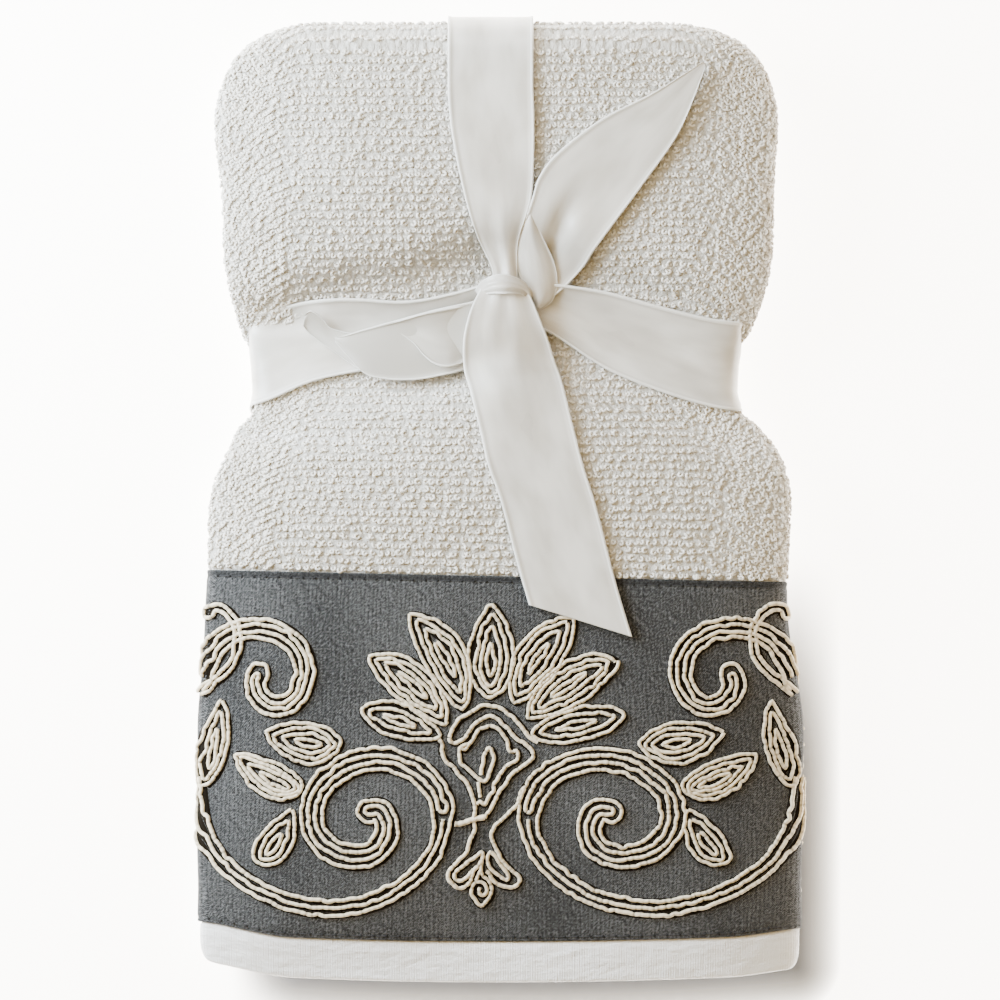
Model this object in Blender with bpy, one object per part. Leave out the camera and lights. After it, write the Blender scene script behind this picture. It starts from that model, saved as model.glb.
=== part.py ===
"""A terry hand towel folded in thirds both ways, a grey band sewn across its end and a ribbon at its waist.

The towel is one sheet. A flat place on it is (u, v, w): u across the cloth, v along it from the hem that
shows, and w out from the middle of the cloth towards its face side. fold() carries that place into the
folded stack and settle() gives the stack its drawn-in waist, rounded corners and flattened rims. The grey
band is made with the same two steps, so it goes round the folds with the cloth. Inside this file lengths
are in millimetres, X runs across the towel, Y towards the folded top, and the underside lies on Z = 0.
"""

import math
from collections import namedtuple

import bpy
import numpy as np

METRES = 0.001

# The cloth, flat and folded
FLAT_WIDTH = 406.0
FLAT_LENGTH = 711.0
FOLDED_LENGTH = 240.0
HALF_WIDTH = 76.0
CLOTH = 2.2  # thickness, pile included
PITCH = 2.8  # from one layer to the next
TUCK = 0.5  # how far the lower fold stays back from the hem
STACK = 8 * PITCH + CLOTH

# The folds: three layers across, then three groups of them along
GROUP_TURN = 1.5 * PITCH
GROUP_REACH = GROUP_TURN + PITCH + CLOTH / 2
LEFT_BEND_X = -(HALF_WIDTH - PITCH / 2 - CLOTH / 2)
RIGHT_BEND_X = HALF_WIDTH - PITCH - CLOTH / 2
FRONT_RUN = RIGHT_BEND_X - LEFT_BEND_X
FLAP_RUN = (FLAT_WIDTH - FRONT_RUN - 1.5 * PITCH * math.pi) / 2
TOP_BEND_Y = FOLDED_LENGTH / 2 - GROUP_REACH
LOW_BEND_Y = -FOLDED_LENGTH / 2 + GROUP_REACH + TUCK
HEM_Y = -FOLDED_LENGTH / 2
FIRST_RUN = TOP_BEND_Y - HEM_Y
MIDDLE_RUN = TOP_BEND_Y - LOW_BEND_Y
LAST_RUN = FLAT_LENGTH - FIRST_RUN - MIDDLE_RUN - 2 * math.pi * GROUP_TURN

# The band and the plain-woven end that it is sewn to
HEM_STRIP = 10.2
BAND_DEPTH = 91.4
BAND_LOW, BAND_HIGH = 0.2, 1.2  # w of its two faces
PLAIN_FACE = -0.1  # w of the cloth's face where it has no pile
PILE_START = 3.0  # length over which the pile begins, past the band

# The ribbon
RIBBON = 1.0  # thickness
RIBBON_WIDTH = 21.7
CLEARANCE = 0.6  # between the ribbon and the cloth
WAIST_CLEARANCE = 0.9
WAIST_MIDDLE = 8.0  # height at which the ribbon turns from the face to the back
BACK_LIFT = 2.5  # how far the cloth stands off the surface where the ribbon runs under it
BACK_Y = 32.4  # where the ribbon crosses the back
BACK_Z = 1.0  # middle of the ribbon's thickness under the towel
WAIST_LIFT = (12.5, 18)  # from the ribbon's line on the back: where the lift is full, and where it ends
TROUGH_LIFT = (12.5, 17)  # the same beside the ribbon from over the top
WAIST_BLEND = 3  # half the height over which the ribbon passes from the face's line to the back's
WAIST_REACH = 1.5  # how near cloth counts as under one line of the ribbon
WAIST_DIRECTIONS, WAIST_COLUMNS, WAIST_STEPS = 61, 6, 84
TOP_RIBBON_X = -2.3

CENTRE = (0.10, 0.81)  # the middle of the whole part's box, before it is moved to the origin

Run = namedtuple("Run", "length radius")  # radius 0 is straight, a minus one turns right
Section = namedtuple("Section", "y left right")
Corner = namedtuple("Corner", "side wide deep end")  # end is 1 at the folded top and -1 at the hem
Hollow = namedtuple("Hollow", "x y half_x half_y depth")
Wave = namedtuple("Wave", "height per_x per_y start")  # per_x and per_y are radians per millimetre
Lump = namedtuple("Lump", "x y rise half_sizes")
Height = namedtuple("Height", "y top")
Tie = namedtuple("Tie", "x y half_width")
Row = namedtuple("Row", "x1 y1 x2 y2 rise")

ACROSS = (
    Run(FLAP_RUN, 0),
    Run(math.pi * PITCH / 2, -PITCH / 2),
    Run(FRONT_RUN, 0),
    Run(math.pi * PITCH, -PITCH),
    Run(FLAP_RUN, 0),
)
ALONG = (
    Run(FIRST_RUN, 0),
    Run(math.pi * GROUP_TURN, -GROUP_TURN),
    Run(MIDDLE_RUN, 0),
    Run(math.pi * GROUP_TURN, GROUP_TURN),
    Run(LAST_RUN, 0),
)

# Half widths up the towel
SECTIONS = (
    Section(-120, 75.4, 74.0),
    Section(-85, 75.9, 75.2),
    Section(-66, 75.7, 76.0),
    Section(-45, 74.7, 74.7),
    Section(-25, 73.7, 72.0),
    Section(-6, 73.0, 72.7),
    Section(5, 71.0, 72.0),
    Section(13, 68.0, 69.2),
    Section(18.5, 65.6, 65.0),
    Section(22.5, 62.2, 60.4),
    Section(32, 61.4, 58.6),
    Section(42, 62.0, 59.4),
    Section(46.5, 66.4, 64.4),
    Section(53, 67.8, 66.4),
    Section(70, 69.2, 68.2),
    Section(88, 71.2, 69.4),
    Section(120, 71.2, 69.8),
)
# Height of the face, by how far up from the tie's line
HEIGHTS = (
    Height(-160, 17.0),
    Height(-140, 20.0),
    Height(-105, 23.0),
    Height(-65, 25.0),
    Height(-34, 25.0),
    Height(-22, 22.5),
    Height(-14, 17.6),
    Height(-8, 16.4),
    Height(8, 16.4),
    Height(13, 18.4),
    Height(19, 23.4),
    Height(30, 26.0),
    Height(55, 26.0),
    Height(90, 22.5),
)
# How much lower the face is at its rim than along its middle, by the power of the way to the rim
RIM_DROP = {5: 0.3, 2: 0.04}
HOLLOWS = (Hollow(-56, 86, 12, 9, 1.1), Hollow(-42, 16, 16, 3.5, 1.2))
FACE_WAVES = (Wave(0.35, 1 / 17, 1 / 29, 1.3), Wave(0.3, -1 / 23, 1 / 14, 0.0))
# The outline: its rounded corners, and how the lower layers and the band lie
CORNERS = (
    Corner(-1, 29.0, 26.0, 1),
    Corner(-1, 7.0, 7.0, -1),
    Corner(1, 31.0, 26.0, 1),
    Corner(1, 7.0, 7.0, -1),
)
CORNER_FULLNESS = 0.9
SIDE_WAVE = Wave(0.3, 0.0, 1 / 9.0, 1.0)
LAYER_WAVE = Wave(0.21, 0.0, 1 / 4.7, 0.0)
LAYER_TURN = 8  # radians by which the layers' wave moves on from the underside to the face
UNDERSIDE_INSET, UNDERSIDE_SHIFT = 1.1, 0.5
LEFT_BOW, RIGHT_BOW = 3.4, 2.2  # how far the lower corners stand up from the middle of the hem
BOW_START, BOW_FULL = 60, 118  # -Y over which the bow sets in
BAND_SLOPE = 0.02
SLOPE_START, SLOPE_FULL, SLOPE_FADES, SLOPE_END = -15, 12, 40, 90  # -Y over which the slope sets in and fades
# The tie's line on the face
TIE_LINE = (
    Tie(-70, 33.0, 9.4),
    Tie(-60, 33.8, 9.4),
    Tie(-48, 38.0, 10.6),
    Tie(-36, 41.0, 10.4),
    Tie(-24, 42.5, 9.4),
    Tie(-10, 47.0, 6.6),
    Tie(1, 51.0, 4.6),
    Tie(12, 48.5, 6.0),
    Tie(26, 43.0, 9.6),
    Tie(40, 38.0, 10.6),
    Tie(56, 32.8, 9.6),
    Tie(70, 31.8, 9.4),
)
# Each free end: its two edges, and its height above the cloth
DOWN_TAIL = (
    Row(-4.5, 53.0, 6.0, 53.0, 5.2),
    Row(-7.0, 47.5, 9.6, 47.2, 5.4),
    Row(-9.3, 39.0, 13.6, 37.5, 5.0),
    Row(-8.2, 29.0, 17.0, 26.0, 2.4),
    Row(-5.0, 17.7, 20.4, 13.5, 1.2),
    Row(0.2, 0.0, 25.4, -5.7, 1.2),
    Row(4.4, -16.0, 29.6, -22.4, 1.2),
    Row(7.2, -25.6, 32.9, -33.6, 1.4),
)
UP_TAIL = (
    Row(-1.0, 57.5, 6.0, 50.5, 5.6),
    Row(5.2, 65.0, 17.0, 53.0, 4.4),
    Row(8.4, 76.0, 22.5, 60.5, 2.2),
    Row(14.0, 87.2, 29.0, 69.8, 1.8),
    Row(25.4, 94.6, 36.5, 80.7, 1.9),
    Row(37.6, 101.1, 43.0, 92.5, 2.4),
    Row(48.4, 108.2, 49.4, 106.6, 3.0),
)
LOOP = (
    Row(-1.0, 54.0, -1.0, 46.0, 6.8),
    Row(-8.0, 50.6, -9.5, 35.0, 6.8),
    Row(-17.0, 48.4, -16.5, 31.2, 6.8),
    Row(-28.0, 45.0, -25.0, 30.6, 6.6),
    Row(-38.5, 42.5, -33.0, 33.0, 6.0),
    Row(-44.6, 43.4, -37.0, 35.6, 5.0),
    Row(-46.6, 45.0, -38.8, 37.2, 3.9),
    Row(-43.0, 47.0, -36.0, 34.0, 3.6),
    Row(-30.0, 49.0, -26.0, 33.0, 3.6),
    Row(-16.0, 50.0, -15.0, 37.0, 3.6),
    Row(-1.0, 54.0, -1.0, 47.0, 3.6),
)
# The same where the ribbon over the top narrows into the knot
OVER_TOP = (
    Row(-4.4, 52.0, 4.6, 52.0, 4.6),
    Row(-4.8, 58.0, 5.6, 58.0, 4.6),
    Row(-5.8, 66.0, 6.6, 66.0, 4.0),
    Row(-8.6, 76.0, 7.6, 76.0, 1.8),
    Row(-12.4, 92.0, 8.5, 92.0, 1.2),
)
TOP_FACE_STEPS, TOP_TURN_STEPS, TOP_BACK_STEPS = 12, 10, 6
TOP_DIRECTIONS, TOP_SWEEP = 25, 0.47 * math.pi  # the turn over the top, to each side of straight out
TOP_REACH = 12  # how far below the ribbon's last row the cloth is still felt
TOP_RUN_IN = 4  # and how far above it the turn begins
BACK_RUN_IN = 1.5  # from the turn's end to the first row on the back
BACK_OVERLAP = 4  # how far above the waist's line the ribbon ends on the back

KNOT = Lump(1.0, 52.6, 5.8, (7.6, 5.4, 4.6))
PUFF = Lump(9.0, 52.0, 5.2, (4.6, 4.6, 3.4))
LUMP_ROWS, LUMP_COLUMNS = 10, 16

# Where the mesh has its points, common to every layer so that their facets lie alike
STATIONS_X = (-66, -54, -38, -19.5, -14.8, 10.3, 15, 34, 54, 66)
STATIONS_Y = (-95, -70, -45, -15, -2, 8, 16, 22, 28, 35, 42, 48, 54, 61, 70, 84, 100)
STATION_MARGIN = 1.5  # no station nearer than this to the ends of a run
LEFT_BEND_STEPS, RIGHT_BEND_STEPS, GROUP_BEND_STEPS = 3, 4, 5
FINE_ALONG, FINE_ACROSS = 8, 3  # times as many points where the ribbon feels for the cloth

Finish = namedtuple("Finish", "colour roughness")
TERRY = Finish((0.86, 0.85, 0.82), 0.95)
GREY = Finish((0.115, 0.12, 0.13), 0.9)
SATIN = Finish((0.9, 0.89, 0.86), 0.35)


def smooth_between(x, points, values):
    """A smooth curve through a table's values, level past its ends."""
    points, values = np.asarray(points, float), np.asarray(values, float)
    slopes = np.gradient(values, points)
    slopes[0] = slopes[-1] = 0.0
    x = np.clip(x, points[0], points[-1])
    i = np.clip(np.searchsorted(points, x) - 1, 0, len(points) - 2)
    span = points[i + 1] - points[i]
    t = (x - points[i]) / span
    return (
        values[i] * (1 + 2 * t) * (1 - t) ** 2
        + slopes[i] * span * t * (1 - t) ** 2
        + values[i + 1] * t**2 * (3 - 2 * t)
        - slopes[i + 1] * span * t**2 * (1 - t)
    )


def soft_step(x, start, end):
    """0 before start, 1 past end, and smooth between."""
    t = np.clip((np.asarray(x, float) - start) / (end - start), 0, 1)
    return t * t * (3 - 2 * t)


def along_runs(s, start, heading, runs):
    """Points and left-hand normals at lengths s along straights and bends laid end to end."""
    s = np.asarray(s, float)
    point, angle, done = np.array(start, float), heading, 0.0
    points = np.zeros((*s.shape, 2))
    normals = np.zeros((*s.shape, 2))
    for number, run in enumerate(runs):
        last = number == len(runs) - 1
        here = (s >= done) & ((s <= done + run.length) | last)
        d = s - done
        if run.radius == 0:
            turned = np.full(s.shape, angle)
            place = point + d[..., None] * np.array([math.cos(angle), math.sin(angle)])
            point = point + run.length * np.array([math.cos(angle), math.sin(angle)])
        else:
            centre = point + run.radius * np.array([-math.sin(angle), math.cos(angle)])
            turned = angle + d / run.radius
            place = centre + run.radius * np.stack([np.sin(turned), -np.cos(turned)], axis=-1)
            angle = angle + run.length / run.radius
            point = centre + run.radius * np.array([math.sin(angle), -math.cos(angle)])
        points[here] = place[here]
        normals[here] = np.stack([-np.sin(turned), np.cos(turned)], axis=-1)[here]
        done += run.length
    return points, normals


def fold(u, v, w):
    """The flat place (u, v, w) in the folded stack, before it settles."""
    across, across_normal = along_runs(u, (LEFT_BEND_X + FLAP_RUN, 0.0), math.pi, ACROSS)
    face_z = STACK - PITCH - CLOTH / 2
    along, along_normal = along_runs(v, (HEM_Y, face_z), 0.0, ALONG)
    x = across[..., 0] + w * across_normal[..., 0]
    out = across[..., 1] + w * across_normal[..., 1]
    y = along[..., 0] + out * along_normal[..., 0]
    z = along[..., 1] + out * along_normal[..., 1]
    return np.stack([x, y, z], axis=-1)


def wave(shape, x, y):
    """The height of a wave at a place."""
    return shape.height * np.sin(x * shape.per_x + y * shape.per_y + shape.start)


def tie_line(x):
    """Y of the tie's line on the face."""
    return smooth_between(x, [t.x for t in TIE_LINE], [t.y for t in TIE_LINE])


def face_height(x, y):
    """Height of the stack's face, with its crown, its waist and its unevenness."""
    top = smooth_between(y - tie_line(x), [h.y for h in HEIGHTS], [h.top for h in HEIGHTS])
    rim = np.abs(x) / HALF_WIDTH
    crown = 1 - sum(drop * rim**power for power, drop in RIM_DROP.items())
    uneven = sum(wave(shape, x, y) for shape in FACE_WAVES)
    for hollow in HOLLOWS:
        away = ((x - hollow.x) / hollow.half_x) ** 2 + ((y - hollow.y) / hollow.half_y) ** 2
        uneven = uneven - hollow.depth * np.exp(-away)
    return top * crown + uneven


def underside(x, y):
    """Height of the stack's underside: flat, but for the ways of the ribbon."""
    full, end = WAIST_LIFT
    lifted = soft_step(y, BACK_Y - end, BACK_Y - full)
    waist = lifted - soft_step(y, BACK_Y + full, BACK_Y + end)
    trough = (1 - soft_step(np.abs(x - TOP_RIBBON_X), *TROUGH_LIFT)) * lifted
    return BACK_LIFT * np.maximum(waist, trough)


def round_corner(x, y, corner):
    """Round one corner of the outline. Its side is -1 for the left and 1 for the right."""
    x_start, y_start = HALF_WIDTH - corner.wide, FOLDED_LENGTH / 2 - corner.deep
    p = np.clip((corner.side * x - x_start) / corner.wide, 0, None)
    q = np.clip((corner.end * y - y_start) / corner.deep, 0, None)
    inside = (p > 0) & (q > 0)
    p2 = p * np.sqrt(1 - CORNER_FULLNESS * q * q / 2)
    q2 = q * np.sqrt(1 - CORNER_FULLNESS * p * p / 2)
    x = np.where(inside, corner.side * (x_start + p2 * corner.wide), x)
    y = np.where(inside, corner.end * (y_start + q2 * corner.deep), y)
    return x, y


def settle(points):
    """Give the square stack its waist, crown, rounded corners and unevenness."""
    x, y, z = (points[..., k] for k in range(3))
    depth = z / STACK
    for corner in CORNERS:
        x, y = round_corner(x, y, corner)
    left = smooth_between(y, [s.y for s in SECTIONS], [s.left for s in SECTIONS])
    right = smooth_between(y, [s.y for s in SECTIONS], [s.right for s in SECTIONS])
    layers = LAYER_WAVE._replace(start=LAYER_TURN * depth)
    half = (left + right) / 2 - UNDERSIDE_INSET * (1 - depth) + wave(SIDE_WAVE, x, y) + wave(layers, x, y)
    new_x = (right - left) / 2 + x * half / HALF_WIDTH + UNDERSIDE_SHIFT * (1 - depth)
    low_part = soft_step(-y, BOW_START, BOW_FULL)
    band_part = soft_step(-y, SLOPE_START, SLOPE_FULL) * (1 - soft_step(-y, SLOPE_FADES, SLOPE_END))
    bow = np.where(x < 0, LEFT_BOW, RIGHT_BOW) * (x / HALF_WIDTH) ** 2
    new_y = y + low_part * bow - band_part * BAND_SLOPE * x
    low = underside(new_x, new_y)
    new_z = low + depth * (face_height(new_x, new_y) - low)
    return np.stack([new_x, new_y, new_z], axis=-1)


def placed(points):
    """Points moved so that the whole part's box is centred, in metres."""
    return (points - np.array([CENTRE[0], CENTRE[1], 0.0])) * METRES


def closed_sheet(name, upper, lower, ring=False):
    """One closed body between two grids of points. A ring joins its last row to its first."""
    rows, columns = upper.shape[:2]
    points = np.concatenate([upper.reshape(-1, 3), lower.reshape(-1, 3)])
    low = rows * columns
    faces = []

    def quad(a, b, c, d, flip):
        faces.extend([(a, b, d), (b, c, d)] if flip else [(a, b, c), (a, c, d)])

    for i in range(rows if ring else rows - 1):
        here, there = i * columns, (i + 1) % rows * columns
        for j in range(columns - 1):
            a, b, c, d = here + j, there + j, there + j + 1, here + j + 1
            flip = (upper[i, j, 0] - upper[(i + 1) % rows, j + 1, 0]) * (
                upper[i, j, 1] - upper[(i + 1) % rows, j + 1, 1]
            ) > 0
            quad(a, d, c, b, flip)
            quad(low + a, low + b, low + c, low + d, flip)
        quad(here, there, low + there, low + here, False)
        far, next_far = here + columns - 1, there + columns - 1
        quad(far, low + far, low + next_far, next_far, False)
    if not ring:
        last = (rows - 1) * columns
        for j in range(columns - 1):
            quad(j, low + j, low + j + 1, j + 1, False)
            quad(last + j, last + j + 1, low + last + j + 1, low + last + j, False)
    mesh = bpy.data.meshes.new(name)
    mesh.from_pydata(placed(points).tolist(), [], faces)
    mesh.update()
    thing = bpy.data.objects.new(name, mesh)
    bpy.context.collection.objects.link(thing)
    return thing


def finished(thing, finish):
    """Give an object its own material."""
    material = bpy.data.materials.new(thing.name)
    material.use_nodes = True
    shader = material.node_tree.nodes["Principled BSDF"]
    shader.inputs["Base Color"].default_value = (*finish.colour, 1.0)
    shader.inputs["Roughness"].default_value = finish.roughness
    shader.inputs["Metallic"].default_value = 0.0
    thing.data.materials.clear()
    thing.data.materials.append(material)
    return thing


def stations(start, run, sign, wanted, extra=()):
    """Lengths from start to a straight run's points. Its coordinate begins at start and moves by sign."""
    places = [(p - start) * sign for p in (*wanted, *extra)]
    return sorted(p for p in places if STATION_MARGIN < p < run - STATION_MARGIN)


def bend_steps(start, run, steps):
    """Lengths of the points round a bend that begins at start, both ends included."""
    return [start + run.length * k / steps for k in range(steps + 1)]


def across_lengths():
    """u of every column of points."""
    u = [0.0]
    left_end = LEFT_BEND_X + FLAP_RUN
    u += stations(left_end, FLAP_RUN, -1, STATIONS_X)
    done = FLAP_RUN
    u += bend_steps(done, ACROSS[1], LEFT_BEND_STEPS)
    done += ACROSS[1].length
    u += [done + s for s in stations(LEFT_BEND_X, FRONT_RUN, 1, STATIONS_X)]
    done += FRONT_RUN
    u += bend_steps(done, ACROSS[3], RIGHT_BEND_STEPS)
    done += ACROSS[3].length
    u += [done + s for s in stations(RIGHT_BEND_X, FLAP_RUN, -1, STATIONS_X)]
    return np.array([*u, FLAT_WIDTH])


def along_lengths():
    """v of every row of points."""
    band_edges = (HEM_Y + HEM_STRIP, HEM_Y + HEM_STRIP + BAND_DEPTH)
    pile_edge = band_edges[1] + PILE_START
    v = [0.0, *stations(HEM_Y, FIRST_RUN, 1, STATIONS_Y, (*band_edges, pile_edge))]
    done = FIRST_RUN
    v += bend_steps(done, ALONG[1], GROUP_BEND_STEPS)
    done += ALONG[1].length
    v += [done + s for s in stations(TOP_BEND_Y, MIDDLE_RUN, -1, STATIONS_Y)]
    done += MIDDLE_RUN
    v += bend_steps(done, ALONG[3], GROUP_BEND_STEPS)
    done += ALONG[3].length
    v += [done + s for s in stations(LOW_BEND_Y, LAST_RUN, 1, STATIONS_Y)]
    return np.array([*v, FLAT_LENGTH])


def terry_cloth():
    """The towel: one sheet, nine layers deep."""
    v, u = np.meshgrid(along_lengths(), across_lengths(), indexing="ij")
    piled = soft_step(v, HEM_STRIP + BAND_DEPTH, HEM_STRIP + BAND_DEPTH + PILE_START)
    face = PLAIN_FACE + (CLOTH / 2 - PLAIN_FACE) * piled
    upper = settle(fold(u, v, face))
    lower = settle(fold(u, v, np.full(u.shape, -CLOTH / 2)))
    return finished(closed_sheet("terry_cloth", upper, lower), TERRY)


def grey_band():
    """The band sewn across the end, round the folds with the cloth."""
    all_v = along_lengths()
    v = all_v[(all_v > HEM_STRIP - 0.01) & (all_v < HEM_STRIP + BAND_DEPTH + 0.01)]
    v, u = np.meshgrid(v, across_lengths(), indexing="ij")
    upper = settle(fold(u, v, np.full(u.shape, BAND_HIGH)))
    lower = settle(fold(u, v, np.full(u.shape, BAND_LOW)))
    return finished(closed_sheet("grey_band", upper, lower), GREY)


def thickened(name, grid, ring=False):
    """A ribbon's closed body, half its thickness to each side of a grid of points."""
    if ring:
        along = np.roll(grid, -1, axis=0) - np.roll(grid, 1, axis=0)
    else:
        along = np.gradient(grid, axis=0)
    normal = np.cross(np.gradient(grid, axis=1), along)
    normal /= np.linalg.norm(normal, axis=-1, keepdims=True)
    return closed_sheet(name, grid + normal * RIBBON / 2, grid - normal * RIBBON / 2, ring)


def tail(name, rows, steps, columns=5):
    """A length of ribbon that lies over the cloth, from a table of its two edges."""
    place = np.linspace(0, len(rows) - 1, steps)
    index = np.arange(len(rows))
    x1, y1, x2, y2, rise = (smooth_between(place, index, [r[k] for r in rows])[:, None] for k in range(5))
    part = np.linspace(0, 1, columns)[None, :]
    x, y = x1 + (x2 - x1) * part, y1 + (y2 - y1) * part
    return thickened(name, np.stack([x, y, face_height(x, y) + rise], axis=-1))


def subdivided(lengths, parts):
    """The same lengths with more between them."""
    place = np.linspace(0, len(lengths) - 1, (len(lengths) - 1) * parts + 1)
    return np.interp(place, np.arange(len(lengths)), lengths)


def cloth_points():
    """Places all over the cloth's two faces, settled."""
    along, across = subdivided(along_lengths(), FINE_ALONG), subdivided(across_lengths(), FINE_ACROSS)
    v, u = np.meshgrid(along, across, indexing="ij")
    faces = [settle(fold(u, v, np.full(u.shape, w))) for w in (-CLOTH / 2, CLOTH / 2)]
    return np.concatenate([face.reshape(-1, 3) for face in faces])


def taut_outline(flat, directions, clearance):
    """Corners of the taut line about flat points, on the sides that the directions face."""
    normals = np.stack([np.cos(directions), np.sin(directions)], axis=-1)
    reach = (flat @ normals.T).max(axis=0) + clearance
    pairs = np.stack([normals[:-1], normals[1:]], axis=1)
    reaches = np.stack([reach[:-1], reach[1:]], axis=1)
    return np.linalg.solve(pairs, reaches[..., None])[..., 0]


def evenly_spaced(line, steps, last=True):
    """Points at even lengths along a line through some corners, with or without its last point."""
    length = np.concatenate([[0], np.cumsum(np.linalg.norm(np.diff(line, axis=0), axis=1))])
    s = np.linspace(0, length[-1], steps, endpoint=last)
    return np.stack([np.interp(s, length, line[:, k]) for k in range(2)], axis=-1)


def split_at_level(outline, level):
    """The parts of a convex outline above and below a level, each from one crossing to the other."""
    above = outline[:, 1] > level
    start = np.flatnonzero(above & ~np.roll(above, 1))[0]
    turned = np.roll(outline, -start, axis=0)
    high, low = turned[turned[:, 1] > level], turned[turned[:, 1] <= level]

    def crossing(one, other):
        return one + (other - one) * (level - one[1]) / (other[1] - one[1])

    right, left = crossing(low[-1], high[0]), crossing(high[-1], low[0])
    return np.vstack([right, high, left]), np.vstack([left, low, right])


def tie_width_line(x, across, on_face):
    """Y of a line along the ribbon round the waist: across is -1 and 1 at its edges."""
    narrow = smooth_between(x, [t.x for t in TIE_LINE], [t.half_width for t in TIE_LINE])
    centre = BACK_Y + (tie_line(x) - BACK_Y) * on_face
    return centre + (RIBBON_WIDTH / 2 + (narrow - RIBBON_WIDTH / 2) * on_face) * across


def waist_ribbon():
    """The ribbon round the waist: on its line across the face and straight across the back."""
    cloth = cloth_points()
    blend = (WAIST_MIDDLE - WAIST_BLEND, WAIST_MIDDLE + WAIST_BLEND)
    upper = soft_step(cloth[:, 2], *blend)
    directions = np.linspace(0, 2 * math.pi, WAIST_DIRECTIONS)
    grid = []
    for across in np.linspace(1, -1, WAIST_COLUMNS):
        near = np.abs(cloth[:, 1] - tie_width_line(cloth[:, 0], across, upper)) < WAIST_REACH
        flat = cloth[near][:, [0, 2]]
        outline = taut_outline(flat, directions, WAIST_CLEARANCE + RIBBON / 2)
        halves = split_at_level(outline, WAIST_MIDDLE)
        line = np.concatenate([evenly_spaced(half, WAIST_STEPS // 2, False) for half in halves])
        on_face = soft_step(line[:, 1], *blend)
        y = tie_width_line(line[:, 0], across, on_face)
        grid.append(np.stack([line[:, 0], y, line[:, 1]], axis=-1))
    return thickened("waist_ribbon", np.stack(grid, axis=1), ring=True)


def top_ribbon(columns=5):
    """The ribbon from the knot up the face, over the folded top and down the back to the waist."""
    place = np.linspace(0, len(OVER_TOP) - 1, TOP_FACE_STEPS)
    index = np.arange(len(OVER_TOP))
    x1, y1, x2, rise = (smooth_between(place, index, [r[k] for r in OVER_TOP]) for k in (0, 1, 2, 4))
    z1 = face_height((x1 + x2) / 2, y1) + rise
    cloth = cloth_points()
    near = (cloth[:, 0] > x1[-1]) & (cloth[:, 0] < x2[-1]) & (cloth[:, 1] > y1[-1] - TOP_REACH)
    directions = np.linspace(TOP_SWEEP, -TOP_SWEEP, TOP_DIRECTIONS)
    over = taut_outline(cloth[near][:, 1:], directions, CLEARANCE + RIBBON / 2)
    over = over[over[:, 0] > y1[-1] + TOP_RUN_IN]
    over = evenly_spaced(over[over[:, 1] > BACK_Z + RIBBON / 2], TOP_TURN_STEPS)
    back_y = np.linspace(over[-1, 0] - BACK_RUN_IN, BACK_Y + BACK_OVERLAP, TOP_BACK_STEPS)
    y = np.concatenate([y1, over[:, 0], back_y])
    z = np.concatenate([z1, over[:, 1], np.full(len(back_y), BACK_Z)])
    more = len(y) - len(y1)
    left = np.concatenate([x1, np.full(more, x1[-1])])
    right = np.concatenate([x2, np.full(more, x2[-1])])
    part = np.linspace(0, 1, columns)[None, :]
    wide = np.ones((1, columns))
    x = left[:, None] + (right - left)[:, None] * part
    return thickened("top_ribbon", np.stack([x, y[:, None] * wide, z[:, None] * wide], axis=-1))


def gathered(name, lump, base):
    """A rounded lump of gathered ribbon, so far above a base height."""
    rows, columns = LUMP_ROWS, LUMP_COLUMNS
    points, faces = [(0.0, 0.0, 1.0)], []
    for i in range(1, rows):
        polar = math.pi * i / rows
        for j in range(columns):
            turn = 2 * math.pi * j / columns
            ring = math.sin(polar)
            points.append((ring * math.cos(turn), ring * math.sin(turn), math.cos(polar)))
    points.append((0.0, 0.0, -1.0))
    for j in range(columns):
        k = (j + 1) % columns
        faces.append((0, 1 + j, 1 + k))
        for i in range(rows - 2):
            a, b = 1 + i * columns, 1 + (i + 1) * columns
            faces.append((a + j, b + j, b + k, a + k))
        faces.append((1 + (rows - 2) * columns + k, 1 + (rows - 2) * columns + j, len(points) - 1))
    mesh = bpy.data.meshes.new(name)
    centre = (lump.x, lump.y, base + lump.rise)
    mesh.from_pydata(placed(np.array(points) * lump.half_sizes + centre).tolist(), [], faces)
    thing = bpy.data.objects.new(name, mesh)
    bpy.context.collection.objects.link(thing)
    return thing


def joined(thing, others):
    """Join overlapping bodies into one, and keep the others only as hidden shapes."""
    for other in others:
        union = thing.modifiers.new(other.name, "BOOLEAN")
        union.operation = "UNION"
        union.solver = "EXACT"
        union.object = other
        other.hide_render = True
        other.display_type = "WIRE"
    return thing


def ribbon_tie():
    """The whole ribbon, one body: round the waist, over the top, the knot, a flat loop and two free ends."""
    base = float(face_height(np.array(KNOT.x), np.array(KNOT.y)))
    parts = (
        top_ribbon(),
        tail("down_tail", DOWN_TAIL, 24),
        tail("up_tail", UP_TAIL, 20),
        tail("flat_loop", LOOP, 32, 4),
        gathered("knot", KNOT, base),
        gathered("knot_puff", PUFF, base),
    )
    thing = waist_ribbon()
    thing.name = "ribbon_tie"
    return finished(joined(thing, parts), SATIN)


def main():
    """Build the three pieces in an empty scene."""
    for old in list(bpy.data.objects):
        bpy.data.objects.remove(old, do_unlink=True)
    terry_cloth()
    grey_band()
    ribbon_tie()


main()
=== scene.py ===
"""A folded terry hand towel with a corded grey band across its end and a satin ribbon tied at its waist.

Inside the classes lengths are in millimetres, in the part's own coordinates: X across the towel, Y towards
the folded top, Z up from the underside. placed() turns them into metres about the middle of the part.
"""

import logging
import math
from dataclasses import dataclass, field
from enum import Enum
from typing import Any, ClassVar, NamedTuple

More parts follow.
